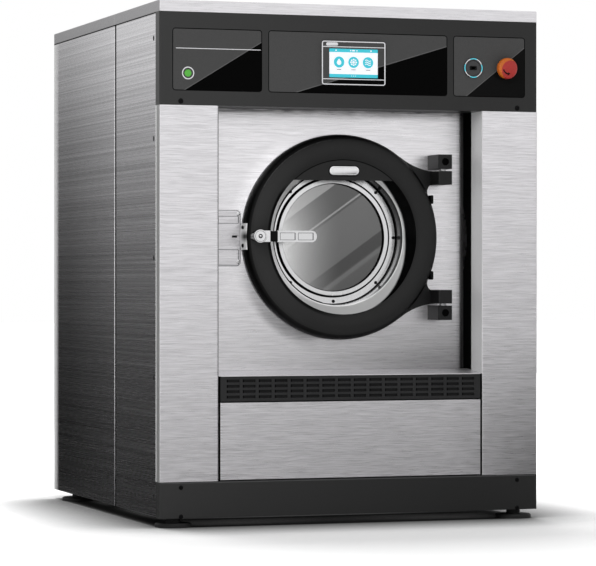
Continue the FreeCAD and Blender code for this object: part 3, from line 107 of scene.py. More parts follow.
# Front steel: its grain and wave, where it is painted darker as shade (from x to x, from z to z, how much) and its
# edges
front_grain = (13.0, 560.0, 560.0)
front_wave = 0.006
front_painted_shade = (0.3, 0.57, 0.1, 0.55, 0.5)
panel_painted_shade = (-0.45, 0.37, 0.42, 0.66, 0.77)
# Painted shade at the door panel's right edge, and painted shadow under the fascia
panel_edge_shade = (panel_high.x - 0.03, panel_high.x + 0.002)
fascia_shade = (fascia_low - 0.026, fascia_low - 0.003)
# Left pillar's outer side: painted shade in front of the pillar line, a painted highlight behind it
pillar_side_width = 0.01
pillar_line_y = front_side_low.y - 0.009
collar_width = 0.04
collar_rise = 0.0075

# Sides: lit rear edge, joints and screws
rear_edge_start = (0.53, 0.575)
rear_edge_end = (0.603, 0.612)
lid_joint_width = 0.004
side_joint_width = 0.009
side_screw_y = -0.553
side_screw_heights = (0.084, 0.418, 0.753, 1.087, 1.368)
side_screw_radius = 0.0075

# Overlay windows with a painted glare: each runs from one edge to the other and the slanting edge of its glare rises
# from a point on the lower edge
window_gap = 0.0205
left_window = 0.2606
right_window = 0.2216
left_end = window_low.x + left_window
right_start = window_high.x - right_window
glare_lines = [
    (window_low.x - window_gap, left_end + window_gap / 2, -0.4987, 0.612),
    (left_end + window_gap / 2, right_start - window_gap / 2, -0.172, 0.3076),
    (right_start - window_gap / 2, window_high.x + window_gap, 0.3482, 0.7888),
]
glare_line_half = 0.0012

# Door glass: tones of its painted reflection across the slanting bands, as (distance from the middle, tone)
glass_reach = 0.16
glass_reflection_lean = math.radians(35.0)
glass_mirror = 0.64
glass_reflection_bands = [(-0.158, 0.163), (-0.122, 0.163), (-0.115, 0.232), (-0.108, 0.232), (-0.102, 0.107), (-0.07, 0.107),
               (-0.068, 0.215), (0.046, 0.215), (0.047, 0.138), (0.052, 0.138), (0.053, 0.430), (0.057, 0.430),
               (0.058, 0.146), (0.062, 0.146), (0.063, 0.155), (0.12, 0.155), (0.122, 0.430), (0.158, 0.430)]

# Radii on the door's dish and ring, and the holes of the drum
dish_floor_radius = 0.1938
dish_wall_radius = 0.197
# Where the dish's crease is painted dark as shade
dish_crease_start = dish_wall_radius - 0.0009
dish_cone_start = dish_wall_radius + 0.0022
# Where the dish's cone carries the painted reflection of the dark ring, and how far it swells
dish_dark_radius = 0.2217
dish_dark_swell = 0.0207
# Where the ring's inner edge on the left is painted dark as shade
ring_inner_edge_shade = (0.234, 0.229)
hole_pitch = 0.018
hole_radius = 0.0032


# Shader tools

def operator(operation, swapped=False):
    """A math node written as plain arithmetic."""
    def apply(wire, other=0.0):
        return wire.tools.math(operation, *((other, wire) if swapped else (wire, other)))
    return apply


class Wire:
    """A value that runs between nodes and takes plain arithmetic; a | b is the greater of two."""

    __add__ = __radd__ = operator("ADD")
    __sub__ = operator("SUBTRACT")
    __rsub__ = operator("SUBTRACT", swapped=True)
    __mul__ = operator("MULTIPLY")
    __truediv__ = operator("DIVIDE")
    __pow__ = operator("POWER")
    __lt__ = operator("LESS_THAN")
    __gt__ = operator("GREATER_THAN")
    __or__ = operator("MAXIMUM")
    __abs__ = operator("ABSOLUTE")

    def __init__(self, tools, socket):
        self.tools = tools
        self.socket = socket

    def span(self, low=0.0, high=1.0, start=0.3, end=0.7):
        """The range from start to end spread over low to high."""
        return self.tools.out("ShaderNodeMapRange", {"Value": self, "From Min": start, "From Max": end,
                                                     "To Min": low, "To Max": high})

    def ramp(self, start, end):
        """0 where the value is at the start and 1 where it is at the end."""
        return self.span(0.0, 1.0, start, end)

    def blend(self, first, second):
        """Colour from first to second as the value goes from 0 to 1; a plain number is a grey."""
        first, second = (grey(colour) if isinstance(colour, float) else colour for colour in (first, second))
        return self.tools.out("ShaderNodeMix", {0: self, 6: first, 7: second}, 2, data_type="RGBA")

    def mottle(self, first, second):
        """Colour that wanders between two with noise."""
        return self.span().blend(first, second)


class Nodes:
    """Short ways to build a node tree."""

    def __init__(self, tree):
        self.tree = tree
        tree.nodes.clear()

    def put(self, source, socket):
        if isinstance(source, Wire):
            self.tree.links.new(source.socket, socket)
        else:
            socket.default_value = source

    def out(self, kind, inputs=None, output=0, **options):
        """One output of a new node, after its options and inputs are set."""
        node = self.tree.nodes.new(kind)
        for key, value in options.items():
            setattr(node, key, value)
        for key, source in (inputs or {}).items():
            self.put(source, node.inputs[key])
        return Wire(self, node.outputs[output])

    def math(self, operation, first, second=0.0):
        return self.out("ShaderNodeMath", {0: first, 1: second}, operation=operation)

    def parts(self, vector):
        split = self.out("ShaderNodeSeparateXYZ", {0: vector}).socket.node
        return [Wire(self, socket) for socket in split.outputs]

    def seen(self):
        """1 for what the camera sees, in mirrors and through glass too."""
        paths = self.out("ShaderNodeLightPath").socket.node.outputs
        rays = [Wire(self, paths[name]) for name in ("Is Camera Ray", "Is Glossy Ray", "Is Transmission Ray")]
        return rays[0] | rays[1] | rays[2]


class Shader(Nodes):
    """A material with one Principled shader and the nodes that feed it."""

    def __init__(self, name, **settings):
        self.material = bpy.data.materials.new(name)
        self.material.use_nodes = True
        super().__init__(self.material.node_tree)
        surface = self.out("ShaderNodeBsdfPrincipled")
        self.bsdf = surface.socket.node
        self.put(surface, self.tree.nodes.new("ShaderNodeOutputMaterial").inputs[0])
        self.feed(**settings)
        self.place = self.out("ShaderNodeTexCoord", output="Object")

    def feed(self, **sources):
        """Sets or links inputs of the Principled shader and gives back the material."""
        for name, source in sources.items():
            self.put(source, self.bsdf.inputs[name.replace("_", " ").title().replace("Ior", "IOR")])
        return self.material

    def axes(self):
        return self.parts(self.place)

    def facing(self):
        """The three parts of the surface's direction."""
        return self.parts(self.out("ShaderNodeTexCoord", output="Normal"))

    def reach(self):
        """The way across, up and straight from the door's middle, seen from the front."""
        across, _, up = self.axes()
        off_x, off_z = across - door_x, up - door_z
        return off_x, off_z, self.math("SQRT", squares(off_x, off_z))

    def noise(self, scale, detail=3.0, distortion=0.0, place=None):
        """Noise whose grain is drawn out along the axes of small scale."""
        scale = scale if isinstance(scale, tuple) else (scale, scale, scale)
        stretched = self.out("ShaderNodeMapping", {"Vector": place or self.place, "Scale": scale})
        return self.out("ShaderNodeTexNoise", {"Vector": stretched, "Scale": 1.0, "Detail": detail,
                                               "Distortion": distortion}, "Fac")

    def bump(self, height, strength, distance):
        self.feed(normal=self.out("ShaderNodeBump", {"Strength": strength, "Distance": distance, "Height": height}))


def squares(first, second):
    return first * first + second * second


def grey(value):
    return (value, value, value, 1.0)


def tint(colour, factor):
    return (colour[0] * factor, colour[1] * factor, colour[2] * factor, 1.0)


# Materials

def brushed(name, colour, grain, share, contrast, waviness):
    """The start of a brushed steel: its shader, and its tone in waved lines along the axis of small grain."""
    shader = Shader(name, metallic=share, anisotropic=0.4)
    shader.feed(tangent=shader.out("ShaderNodeTangent", direction_type="RADIAL", axis="Z"))
    wave = shader.out("ShaderNodeCombineXYZ", {2: shader.noise((19.0, 19.0, 8.0), 1.0) * waviness})
    place = shader.out("ShaderNodeVectorMath", {0: shader.place, 1: wave}, operation="ADD")
    lines = shader.noise(grain, 2.0, place=place)
    hair = shader.noise(tuple(value * 1.7 for value in grain), 1.0, place=place)
    shader.feed(roughness=hair.span(0.27, 0.4))
    tone = (lines * 0.6 + hair * 0.4).ramp(0.36, 0.64)
    return shader, tone.blend(tint(colour, 1.0 - contrast), tint(colour, 1.0 + contrast * 0.6))


def front_brushed(name, colour, share, contrast, shade_span, panel_shading=None):
    """Brushed steel of the front, with painted shade towards the lower right and painted plain tones on its sides:
    light, but shade on the left pillar's outer side, with a painted highlight along its rear.

    With panel_shading it is the door panel's: painted shade at its right edge, painted shadow under the fascia, and
    turned outward near the ring."""
    shader, shade = brushed(name, colour, front_grain, share, contrast, front_wave)
    across, along, up = shader.axes()
    start_x, end_x, start_z, end_z, depth = shade_span
    # Painted shade: darker towards the lower right
    low = across.span(0.0, depth, start_x, end_x) * up.ramp(end_z, start_z)
    shade = low.blend(shade, 0.03)
    # Sideways faces: a plain light tone, but painted shade on the left pillar's outer side, with a painted highlight
    # behind the pillar line
    plain = abs(shader.facing()[0]).ramp(0.5, 0.9)
    outer = (across < left_x + pillar_side_width) * (along < pillar_line_y)
    shade = plain.blend(shade, outer.blend(0.85, 0.3))
    if panel_shading:
        # Painted shade at the panel's right edge, and painted shadow in streaks under the fascia
        shade = across.ramp(*panel_shading).blend(shade, 0.02)
        streaks = shader.noise((10.0, 60.0, 130.0), 2.0, 1.0).span(0.3, 1.0)
        shade = (up.span(0.0, 0.85, *fascia_shade) * streaks).blend(shade, 0.02)
        off_x, _, reach = shader.reach()
        near = reach.ramp(ring_radius + collar_width, ring_radius)
        shader.bump(near * near * (off_x / reach).ramp(-0.2, -0.65), 1.0, collar_rise)
    return shader.feed(metallic=plain.span(share, 0.15, 0.0, 1.0), base_color=shade)


def lid_brushed():
    """Brushed steel of the top covers, with painted shade on their sides."""
    shader, shade = brushed("lid_steel", (0.75, 0.738, 0.76), front_grain, 0.85, 0.12, front_wave)
    # Painted shade: the side faces are darker
    shaded_sides = abs(shader.facing()[0]).span(0.0, 0.62, 0.5, 0.9)
    return shader.feed(base_color=shaded_sides.blend(shade, 0.03))


def side_brushed():
    """Brushed steel of the sides: long streaks, painted shade low and to the rear, dark joints, a painted highlight on
    the rear edge and screws.
    """
    shader, shade = brushed("side_steel", (0.7, 0.69, 0.71), (150.0, 0.35, 200.0), 1.0, 0.26, 0.0)
    _, along, up = shader.axes()
    # Painted shade: darker low down and towards the rear
    shade = up.span(0.18, 0.0, 0.3, 0.8).blend(shade, 0.02)
    rear_shade = along.span(0.0, 0.55, -0.15, 0.4) * up.span(1.0, 0.45, 0.7, 1.45)
    shade = rear_shade.blend(shade, 0.02)
    # Painted highlight along the rear edge, darker at the very edge
    lit = along.ramp(*rear_edge_start)
    shade = lit.blend(shade, along.ramp(*rear_edge_end).blend(0.6, 0.2))
    joint = (along > front_side_high.y - side_joint_width) * (along < front_side_high.y + film)
    dark = (up > front_side_high.z - lid_joint_width) | joint
    for height in side_screw_heights:
        dark = dark | (squares(along - side_screw_y, up - height) < side_screw_radius ** 2)
    plain = lit | dark
    hair = shader.noise((300.0, 0.5, 330.0), 1.0)
    return shader.feed(base_color=dark.blend(shade, 0.004),
                       metallic=plain.span(1.0, 0.1, 0.0, 1.0),
                       roughness=hair.span(0.23, 0.31) + plain * 0.6)


def galvanised():
    """Zinc-coated sheet of the back, with spangles of several greys."""
    shader = Shader("galvanised_sheet", metallic=0.6)
    cells = shader.out("ShaderNodeTexVoronoi", {"Vector": shader.place, "Scale": 70.0}, "Color")
    first, second, _ = shader.parts(cells)
    return shader.feed(base_color=first.blend(0.36, 0.46), roughness=second.span(0.38, 0.52, 0.0, 1.0))


def coated(name, colour, roughness, grain=900.0, relief=0.12, gloss=0.5):
    """Powder coat or moulded plastic: a fine orange-peel grain and a slight mottle."""
    shader = Shader(name, specular_ior_level=gloss)
    fine = shader.noise(grain, 2.0)
    shader.bump(fine, relief, coat_grain)
    return shader.feed(base_color=shader.noise(14.0).mottle(tint(colour, 0.88), tint(colour, 1.1)),
                       roughness=fine.span(roughness - 0.05, roughness + 0.07))


def ring_coat():
    """Moulded plastic of the door ring: satin grey in front, painted lighter towards the left, and painted shade, near
    black, on its sides and its inner edge on the left.
    """
    shader = Shader("ring_black", specular_ior_level=0.06)
    off_x, off_z, reach = shader.reach()
    # Painted shade: the inner edge on the left is near black
    inner = reach.ramp(*ring_inner_edge_shade) * off_x.ramp(0.0, -0.1) * off_z.ramp(0.15, 0.12)
    fine = shader.noise(1400.0, 2.0)
    front = fine.mottle(0.026, 0.031)
    # Painted light: the front is lighter towards the left
    front = off_x.ramp(-0.1, -ring_radius).blend(front, 0.044)
    # Painted shade: the sides are near black
    share = shader.facing()[1].ramp(-0.5, -0.92) * (1.0 - inner)
    shader.bump(fine, 0.06, coat_grain)
    return shader.feed(base_color=share.blend(0.0006, front), roughness=fine.span(0.34, 0.42))


def fascia_coat():
    """Black coat of the fascia and plinth, with painted light: a little lighter towards the left end."""
    shader = Shader("fascia_black", specular_ior_level=0.2)
    fine = shader.noise(900.0, 2.0)
    # Painted light: lighter towards the left end
    tone = shader.axes()[0].ramp(left_x, right_x * 0.6).blend(0.036, 0.021)
    shader.bump(fine, 0.12, coat_grain)
    return shader.feed(base_color=fine.span(0.0, 0.12).blend(tone, 0.1), roughness=fine.span(0.31, 0.43))


def polished(name, colour, roughness, grain=60.0, edge=None):
    """Polished or ground metal with a faint wipe pattern; with an edge tone, its turned edges carry a painted
    reflection of the dark door.
    """
    shader = Shader(name, metallic=1.0)
    wipe = shader.noise(grain, 4.0)
    face = wipe.mottle(tint(colour, 0.94), tint(colour, 1.03))
    if edge:
        # Painted reflection: the turned edges take the edge tone
        face = shader.facing()[1].ramp(-0.5, -0.88).blend(edge, face)
    return shader.feed(base_color=face, roughness=wipe.span(roughness * 0.7, roughness * 1.4))


def keeper_plate():
    """Satin steel of the latch keeper, with a painted reflection of the dark lock mouth at half height."""
    shader = Shader("keeper_steel", metallic=0.25)
    _, along, up = shader.axes()
    # Painted reflection: dark at half height, towards the front
    middle = abs(up - door_z).span(0.95, 0.0, 0.003, 0.018)
    fore = along.span(1.0, 0.15, keeper_low.y + 0.006, keeper_low.y + 0.024)
    return shader.feed(base_color=(middle * fore).blend(0.95, 0.01),
                       roughness=shader.noise(60.0, 4.0).span(0.3, 0.45))


def dish_steel():
    """Polished steel with a painted reflection of the dark ring along the right side of its cone, painted shade up its
    wall and in its crease, and a painted highlight on the rest of the cone.
    """
    shader = Shader("dish_steel")
    off_x, off_z, reach = shader.reach()
    # Painted reflection: the dark ring along the right side of the cone
    swell = ((off_x + off_z * 0.3) / reach).ramp(0.0, 1.0) ** 1.4 * dish_dark_swell
    mirrored = (reach - (dish_dark_radius - swell)).ramp(0.0, 0.003)
    wipe = shader.noise(60.0, 4.0)
    tone = wipe.mottle(0.8, 0.88)
    # Painted shade: darker up the wall
    slant = (off_x * 0.85 + off_z * 0.53) / reach
    wall = (reach > dish_floor_radius) * (reach < dish_wall_radius)
    tone = (wall * slant.span(0.1, 0.97, -0.1, 0.95)).blend(tone, 0.03)
    # Painted shade: the crease
    crease = (reach > dish_crease_start) * (reach < dish_cone_start)
    tone = (crease * slant.ramp(-0.2, 0.3)).blend(tone, 0.002)
    # Painted highlight: the rest of the cone, light and less metallic
    cone = (reach > dish_cone_start) * (1.0 - mirrored)
    tone = cone.blend(tone, 0.95)
    return shader.feed(metallic=cone.span(0.85, 0.3, 0.0, 1.0),
                       base_color=mirrored.blend(tone, 0.004),
                       roughness=wipe.span(0.16, 0.19))


def rubber(name, colour):
    shader = Shader(name, specular_ior_level=0.3)
    bloom = shader.noise(120.0, 5.0)
    shader.bump(bloom, 0.15, 0.0005)
    return shader.feed(base_color=bloom.mottle(tint(colour, 0.8), tint(colour, 1.3)), roughness=bloom.span(0.62, 0.8))


def windows_with_painted_glare():
    """Overlays with a painted glare: a lighter upper part, parted by a slanting painted line on each window."""
    shader = Shader("window_overlay", specular_ior_level=0.02)
    across, _, up = shader.axes()
    uppers, marks = [], []
    # Painted glare: lighter above a slanting line on each window, with a light painted line along it
    for start_x, end_x, first, slope in glare_lines:
        line = (across - first) * slope + window_low.z
        inside = (across > start_x) * (across < end_x)
        uppers.append((up > line) * inside)
        marks.append((abs(up - line) < glare_line_half) * inside)
    speck = shader.noise(700.0, 2.0)
    light = speck.mottle(0.074, 0.096)
    dark = speck.mottle(0.0008, 0.002)
    dark = (across > glare_lines[2][0]).blend(dark, 0.007)
    return shader.feed(base_color=sum(marks).blend(sum(uppers).blend(dark, light), 0.15),
                       roughness=speck.span(0.1, 0.16))


def lit_panel(name, colour, strength):
    """A lit part of the display with a faint pixel mottle."""
    shader = Shader(name, roughness=0.25, specular_ior_level=0.2, emission_strength=strength)
    shade = shader.noise(1500.0, 1.0).mottle(tint(colour, 0.95), tint(colour, 1.03))
    return shader.feed(base_color=shade, emission_color=shade)


def stop_red():
    """Red plastic with a painted highlight: a warmer orange crescent at the upper left of the crown."""
    shader = Shader("stop_red", specular_ior_level=0.35)
    across, _, up = shader.axes()
    # Painted highlight: an orange crescent at the upper left
    off_x = across - (stop_x + stop_radius * 0.24)
    off_z = up - (stop_z - stop_radius * 0.192)
    share = shader.math("SQRT", squares(off_x, off_z)).ramp(stop_radius * 0.9, stop_radius * 0.98)
    grain = shader.noise(500.0, 2.0)
    red = grain.mottle((0.42, 0.024, 0.02, 1.0), (0.5, 0.034, 0.028, 1.0))
    return shader.feed(base_color=share.blend(red, (0.66, 0.15, 0.012, 1.0)), roughness=grain.span(0.34, 0.44))


def door_glass():
    """Half-mirrored door glass with painted reflections in slanting bands and a painted glow to the left."""
    shader = Shader("door_window", ior=1.46, transmission_weight=1.0, metallic=glass_mirror)
    off_x, off_z, _ = shader.reach()
    slant = off_z * math.cos(glass_reflection_lean) - off_x * math.sin(glass_reflection_lean)
    # Painted reflections: slanting bands of tone in the half mirror's colour
    bands = shader.out("ShaderNodeValToRGB", {0: slant.ramp(-glass_reach, glass_reach)})
    stops = bands.socket.node.color_ramp.elements
    for place, tone in glass_reflection_bands:
        stops.new(0.5 + place / (2 * glass_reach)).color = grey(tone)
    stops.remove(stops[0])
    stops.remove(stops[-1])
    # Painted glow: white towards the left, less towards the top
    glow = off_x.ramp(0.03, -glass_reach) ** 1.8 * off_z.span(1.0, 0.25, 0.0, glass_reach)
    return shader.feed(base_color=glow.blend(bands, 1.0), roughness=shader.noise(9.0).span(0.1, 0.16))


def perforated_steel():
    """Bright drum steel with staggered rows of small dark holes round the wall and on the back."""
    shader = Shader("drum_steel", metallic=1.0)
    across, along, up = shader.axes()
    angle = shader.math("ARCTAN2", across, up - door_z)
    flat = abs(shader.facing()[1]) > 0.5

    def cells(first, second):
        row = second / hole_pitch
        stagger = shader.math("MODULO", shader.math("FLOOR", row), 2.0) * 0.5
        left = shader.math("FRACT", first / hole_pitch + stagger) - 0.5
        low = shader.math("FRACT", row) - 0.5
        return squares(left, low) < (hole_radius / hole_pitch) ** 2

    wall = cells(angle * ((drum_high.x - drum_low.x) / 2), along + 10.0)
    back = cells(across + 10.0, up + 10.0)
    holes = wall * (1.0 - flat) + back * flat
    wipe = shader.noise(40.0, 4.0)
    shader.bump(1.0 - holes, 0.4, 0.001)
    return shader.feed(base_color=holes.blend(wipe.mottle(0.44, 0.54), 0.08), roughness=wipe.span(0.22, 0.36))


satin_steel = polished("satin_steel", (0.78, 0.78, 0.79), 0.2, (90.0, 90.0, 30.0))
mirror_steel = polished("mirror_steel", (0.86, 0.86, 0.87), 0.09)
trim_light = polished("trim_light", (0.72, 0.72, 0.74), 0.22)
collar_black = coated("collar_black", (0.0015, 0.0015, 0.0016), 0.35, 1400.0, 0.06, 0.1)
screw_black = coated("screw_black", (0.0025, 0.0025, 0.003), 0.4, 1600.0, 0.05, 0.1)
joint_and_shadow_black = coated("joint_and_shadow_black", (0.0015, 0.0015, 0.0015), 0.7, 1600.0, 0.05, 0.02)
edge_highlight = coated("edge_highlight", (0.78, 0.77, 0.79), 0.4, 1600.0, 0.05)
edge_grey = coated("edge_grey", (0.16, 0.16, 0.165), 0.4, 1600.0, 0.05)
edge_dim = coated("edge_dim", (0.07, 0.07, 0.072), 0.4, 1600.0, 0.05)
louvre_black = coated("louvre_black", (0.016, 0.016, 0.0165), 0.6, gloss=0.05)
suspension_grey = coated("suspension_grey", (0.09, 0.09, 0.1), 0.42)
cast_grey = coated("cast_grey", (0.11, 0.12, 0.13), 0.5, 500.0, 0.3)
screen_white = lit_panel("screen_white", (0.83, 0.85, 0.89), 0.42)
screen_teal = lit_panel("screen_teal", (0.05, 0.5, 0.6), 0.42)
lamp_green = lit_panel("lamp_green", (0.1, 0.42, 0.06), 0.25)
lamp_cyan = lit_panel("lamp_cyan", (0.1, 0.58, 0.7), 0.4)

node_materials = {
    front_brushed("front_steel", (0.775, 0.762, 0.785), 0.85, 0.22, front_painted_shade):
        ["left_pillar", "right_pillar", "lower_front_panel", "recess_sill", "lock_plate"],
    front_brushed("panel_steel", (0.868, 0.855, 0.878), 0.92, 0.19, panel_painted_shade, panel_edge_shade): ["door_panel"],
    lid_brushed(): ["front_top_cover", "rear_top_cover"],
    side_brushed(): ["front_side_panels", "rear_side_panels"],
    galvanised(): ["rear_panel"],
    polished("tub_steel", (0.56, 0.56, 0.57), 0.3, (40.0, 8.0, 40.0)): ["tub_shell", "tub_front_plate", "drain_outlet"],
    perforated_steel(): ["drum_shell", "drum_lifters"],
    dish_steel(): ["door_dish"],
    # Painted reflection: dark turned edges on the hub and the lever
    polished("handle_chrome", (0.76, 0.76, 0.77), 0.14, edge=0.2): ["handle_hub"],
    polished("lever_chrome", (0.74, 0.74, 0.75), 0.2, edge=0.03): ["handle_lever"],
    polished("ground_steel", (0.5, 0.5, 0.51), 0.3):
        ["drum_shaft", "shaft_bearings", "hinge_pins", "damper_rods", "motor_pulley", "stop_button_stem"],
    keeper_plate(): ["latch_keeper"],
    satin_steel: ["window_rings"],
    fascia_coat(): ["control_fascia", "plinth_panel"],
    coated("frame_black", (0.024, 0.024, 0.025), 0.46, gloss=0.2):
        ["vent_grille", "base_frame", "upper_frame", "control_box"],
    coated("hinge_black", (0.009, 0.009, 0.0095), 0.4, gloss=0.25): ["hinge_blocks", "hinge_arms"],
    ring_coat(): ["door_ring"],
    collar_black: ["handle_collar"],
    coated("bezel_dark", (0.03, 0.03, 0.032), 0.3, 1400.0, 0.05): ["usb_socket", "stop_button_base", "cable_gland"],
    suspension_grey: ["tub_cradle", "damper_bodies", "suspension_springs"],
    cast_grey: ["bearing_housing", "drum_pulley", "motor"],
    coated("valve_plastic", (0.1, 0.1, 0.11), 0.45): ["water_inlet_valves", "drain_valve", "lock_box"],
    rubber("black_rubber", (0.02, 0.02, 0.02)): ["door_seal", "glass_gasket", "fill_hose", "drain_hose", "drive_belt"],
    rubber("foot_rubber", (0.016, 0.016, 0.016)): ["levelling_feet"],
    windows_with_painted_glare(): ["fascia_windows", "touchscreen_bezel"],
    door_glass(): ["door_glass"],
    stop_red(): ["stop_button_head"],
    screen_white: ["touchscreen_display"],
}
for material, names in node_materials.items():
    for name in names:
        slots = nodes[name].data.materials
        slots.clear()
        slots.append(material)


# Mesh tools

def put_object(name, data):
    thing = bpy.data.objects.new(name, data)
    bpy.context.scene.collection.objects.link(thing)
    return thing


def finish_piece(name, mesh_data, material, body):
    """Turns a bmesh into a piece that rides on a body, if one is named."""
    bmesh.ops.recalc_face_normals(mesh_data, faces=mesh_data.faces)
    mesh = bpy.data.meshes.new(name)
    mesh_data.to_mesh(mesh)
    mesh_data.free()
    for face in mesh.polygons:
        face.use_smooth = True
    mesh.set_sharp_from_angle(angle=math.radians(35.0))
    mesh.materials.append(material)
    piece = put_object(name, mesh)
    if body:
        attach(piece, body)
    return piece


def polar(x, z, reach, angle):
    return x + reach * math.cos(angle), z + reach * math.sin(angle)


def circle(x, z, radius, steps=96):
    return [polar(x, z, radius, math.tau * step / steps) for step in range(steps)]


def rounded_outline(x, z, width, height, corner, steps=6):
    """Points round a rectangle with round corners, in the plane of the front."""
    points = []
    for quarter, (sx, sz) in enumerate(((1, 1), (-1, 1), (-1, -1), (1, -1))):
        for step in range(steps + 1):
            angle = math.radians(90.0 * (quarter + step / steps))
            points.append(polar(x + sx * (width / 2 - corner), z + sz * (height / 2 - corner), corner, angle))
    return points


def plate(bm, outline, y, thickness, bevel):
    """A flat plate that stands forward from y, with its front edge eased."""
    back = [bm.verts.new((x, y, z)) for x, z in outline]
    face = bm.faces.new(back)
    grown = bmesh.ops.extrude_face_region(bm, geom=[face])["geom"]
    moved = {item for item in grown if isinstance(item, bmesh.types.BMVert)}
    bmesh.ops.translate(bm, verts=list(moved), vec=(0, -thickness, 0))
    rim = [edge for edge in bm.edges if edge.verts[0] in moved and edge.verts[1] in moved]
    bmesh.ops.bevel(bm, geom=rim, offset=bevel, segments=2, profile=0.5, affect="EDGES")


def tablet(bm, x, z, width, height, corner, y, thickness, bevel, steps=6):
    """A plate with round corners."""
    plate(bm, rounded_outline(x, z, width, height, corner, steps), y, thickness, bevel)


def join_loops(bm, loops):
    """Faces between loops of as many points."""
    for first, second in zip(loops, loops[1:]):
        for index in range(len(first)):
            after = (index + 1) % len(first)
            bm.faces.new((first[index], first[after], second[after], second[index]))


def border(bm, outer, inner, y, thickness):
    """A raised frame between two outlines of as many points, rounded over its crest."""
    middle = [((a[0] + b[0]) / 2, (a[1] + b[1]) / 2) for a, b in zip(outer, inner)]
    rows = [(outer, y), (outer, y - thickness * 0.6), (middle, y - thickness), (inner, y - thickness * 0.6), (inner, y)]
    join_loops(bm, [[bm.verts.new((x, depth, z)) for x, z in row] for row, depth in rows])


def frame_border(bm, x, z, outer, inner, y, thickness, steps=6):
    """A raised frame between two rounded rectangles, each given by width, height and corner."""
    border(bm, rounded_outline(x, z, *outer, steps), rounded_outline(x, z, *inner, steps), y, thickness)


def arc_strip(bm, x, y, z, radius, width, start, end, height, steps=10, spread=0.0):
    """A raised strip along an arc that opens by the spread towards its ends."""
    edges = []
    for step in range(steps + 1):
        angle = start + (end - start) * step / steps
        middle = radius + spread * (2 * step / steps - 1) ** 2
        edges += [polar(x, z, middle - width / 2, angle), polar(x, z, middle + width / 2, angle)]
    plate(bm, edges[0::2] + edges[1::2][::-1], y, height, height * 0.2)


def turned(bm, profile, x, y, z, segments=40, facing=None):
    """A form turned about an axis that faces forward; points are (radius, height) and a number of flats, if any."""
    turn = Vector((0, -1, 0)).rotation_difference(facing or Vector((0, -1, 0))).to_matrix()
    loops = []
    for radius, height, *flats in profile:
        if radius == 0:
            loops.append([bm.verts.new(turn @ Vector((0, -height, 0)) + Vector((x, y, z)))])
            continue
        loop = []
        for step in range(segments):
            angle = math.tau * step / segments
            reach = radius
            if flats:
                half = math.pi / flats[0]
                reach = radius * math.cos(half) / math.cos(angle % (2 * half) - half)
            spot = Vector((reach * math.cos(angle), -height, reach * math.sin(angle)))
            loop.append(bm.verts.new(turn @ spot + Vector((x, y, z))))
        loops.append(loop)
    for first, second in zip(loops, loops[1:]):
        for step in range(segments):
            after = (step + 1) % segments
            corners = [first[step % len(first)], first[after % len(first)], second[after % len(second)],
                       second[step % len(second)]]
            bm.faces.new(list(dict.fromkeys(corners)))


def disc(bm, x, y, z, radius, height, segments=40):
    turned(bm, [(0, height), (radius, height), (radius, 0.0)], x, y, z, segments)


def socket_screw(bm, x, y, z, radius, height, facing=None):
    """A round screw head with a six-sided socket."""
    turned(bm, [(0, height * 0.35), (radius * 0.46, height * 0.35, 6), (radius * 0.5, height * 0.95, 6),
                (radius * 0.62, height), (radius * 0.86, height * 0.82), (radius, height * 0.4), (radius, 0.0)],
           x, y, z, 24, facing)


def slotted_screw(bm, x, y, z, radius, height, slot_width, lean):
    """A flat screw head in two halves with a slot between them."""
    disc(bm, x, y, z, radius, height * 0.4, 28)
    start = math.asin(slot_width / 2 / radius)
    for side in (0.0, math.pi):
        arc = [polar(x, z, radius, lean + side + start + (math.pi - 2 * start) * step / 12) for step in range(13)]
        plate(bm, arc, y - height * 0.4, height * 0.6, height * 0.15)


def bar(bm, low, high):
    """A box between two corners."""
    middle = (Vector(low) + Vector(high)) / 2
    size = Vector(high) - Vector(low)
    bmesh.ops.create_cube(bm, size=1.0, matrix=Matrix.Translation(middle) @ Matrix.Diagonal((*size, 1.0)))


def bar_piece(name, material, *bars):
    """A piece of the cabinet made of bars, each given by two corners."""
    bm = bmesh.new()
    for low, high in bars:
        bar(bm, low, high)
    finish_piece(name, bm, material, "cabinet")


# Suspension springs, which shorten and stretch as the tub floats; here they are built once between their seats

spring_radius = 0.046
spring_wire = 0.007
spring_turns, spring_steps, wire_sides = 4, 28, 12


def coil(bm, x, y):
    """A coil spring of round wire that stands between its two seats."""
    count = spring_turns * spring_steps
    rings = []
    for step in range(count + 1):
        turn = math.tau * step / spring_steps
        height = spring_low.z + spring_wire + (spring_high.z - spring_low.z - 2 * spring_wire) * step / count
        ring = []
        for reach, z in circle(spring_radius, height, spring_wire, wire_sides):
            ring.append(bm.verts.new((x + reach * math.cos(turn), y + reach * math.sin(turn), z)))
        rings.append(ring)
    join_loops(bm, rings)
    bm.faces.new(rings[0])
    bm.faces.new(rings[-1])


springs = bmesh.new()
spring_edge = spring_radius + spring_wire
for x in (spring_low.x + spring_edge, spring_high.x - spring_edge):
    for y in (spring_low.y + spring_edge, spring_high.y - spring_edge):
        coil(springs, x, y)
spring_piece = finish_piece("coil_springs", springs, suspension_grey, None)
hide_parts("suspension_springs")
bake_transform(spring_piece)


# Joints, edges and the vent's inside, with painted shadows in gaps and painted highlights on edges

seam_width = 0.0052
seam_shift = 0.0012
side_groove_width, side_groove_depth = 0.007, 0.0015
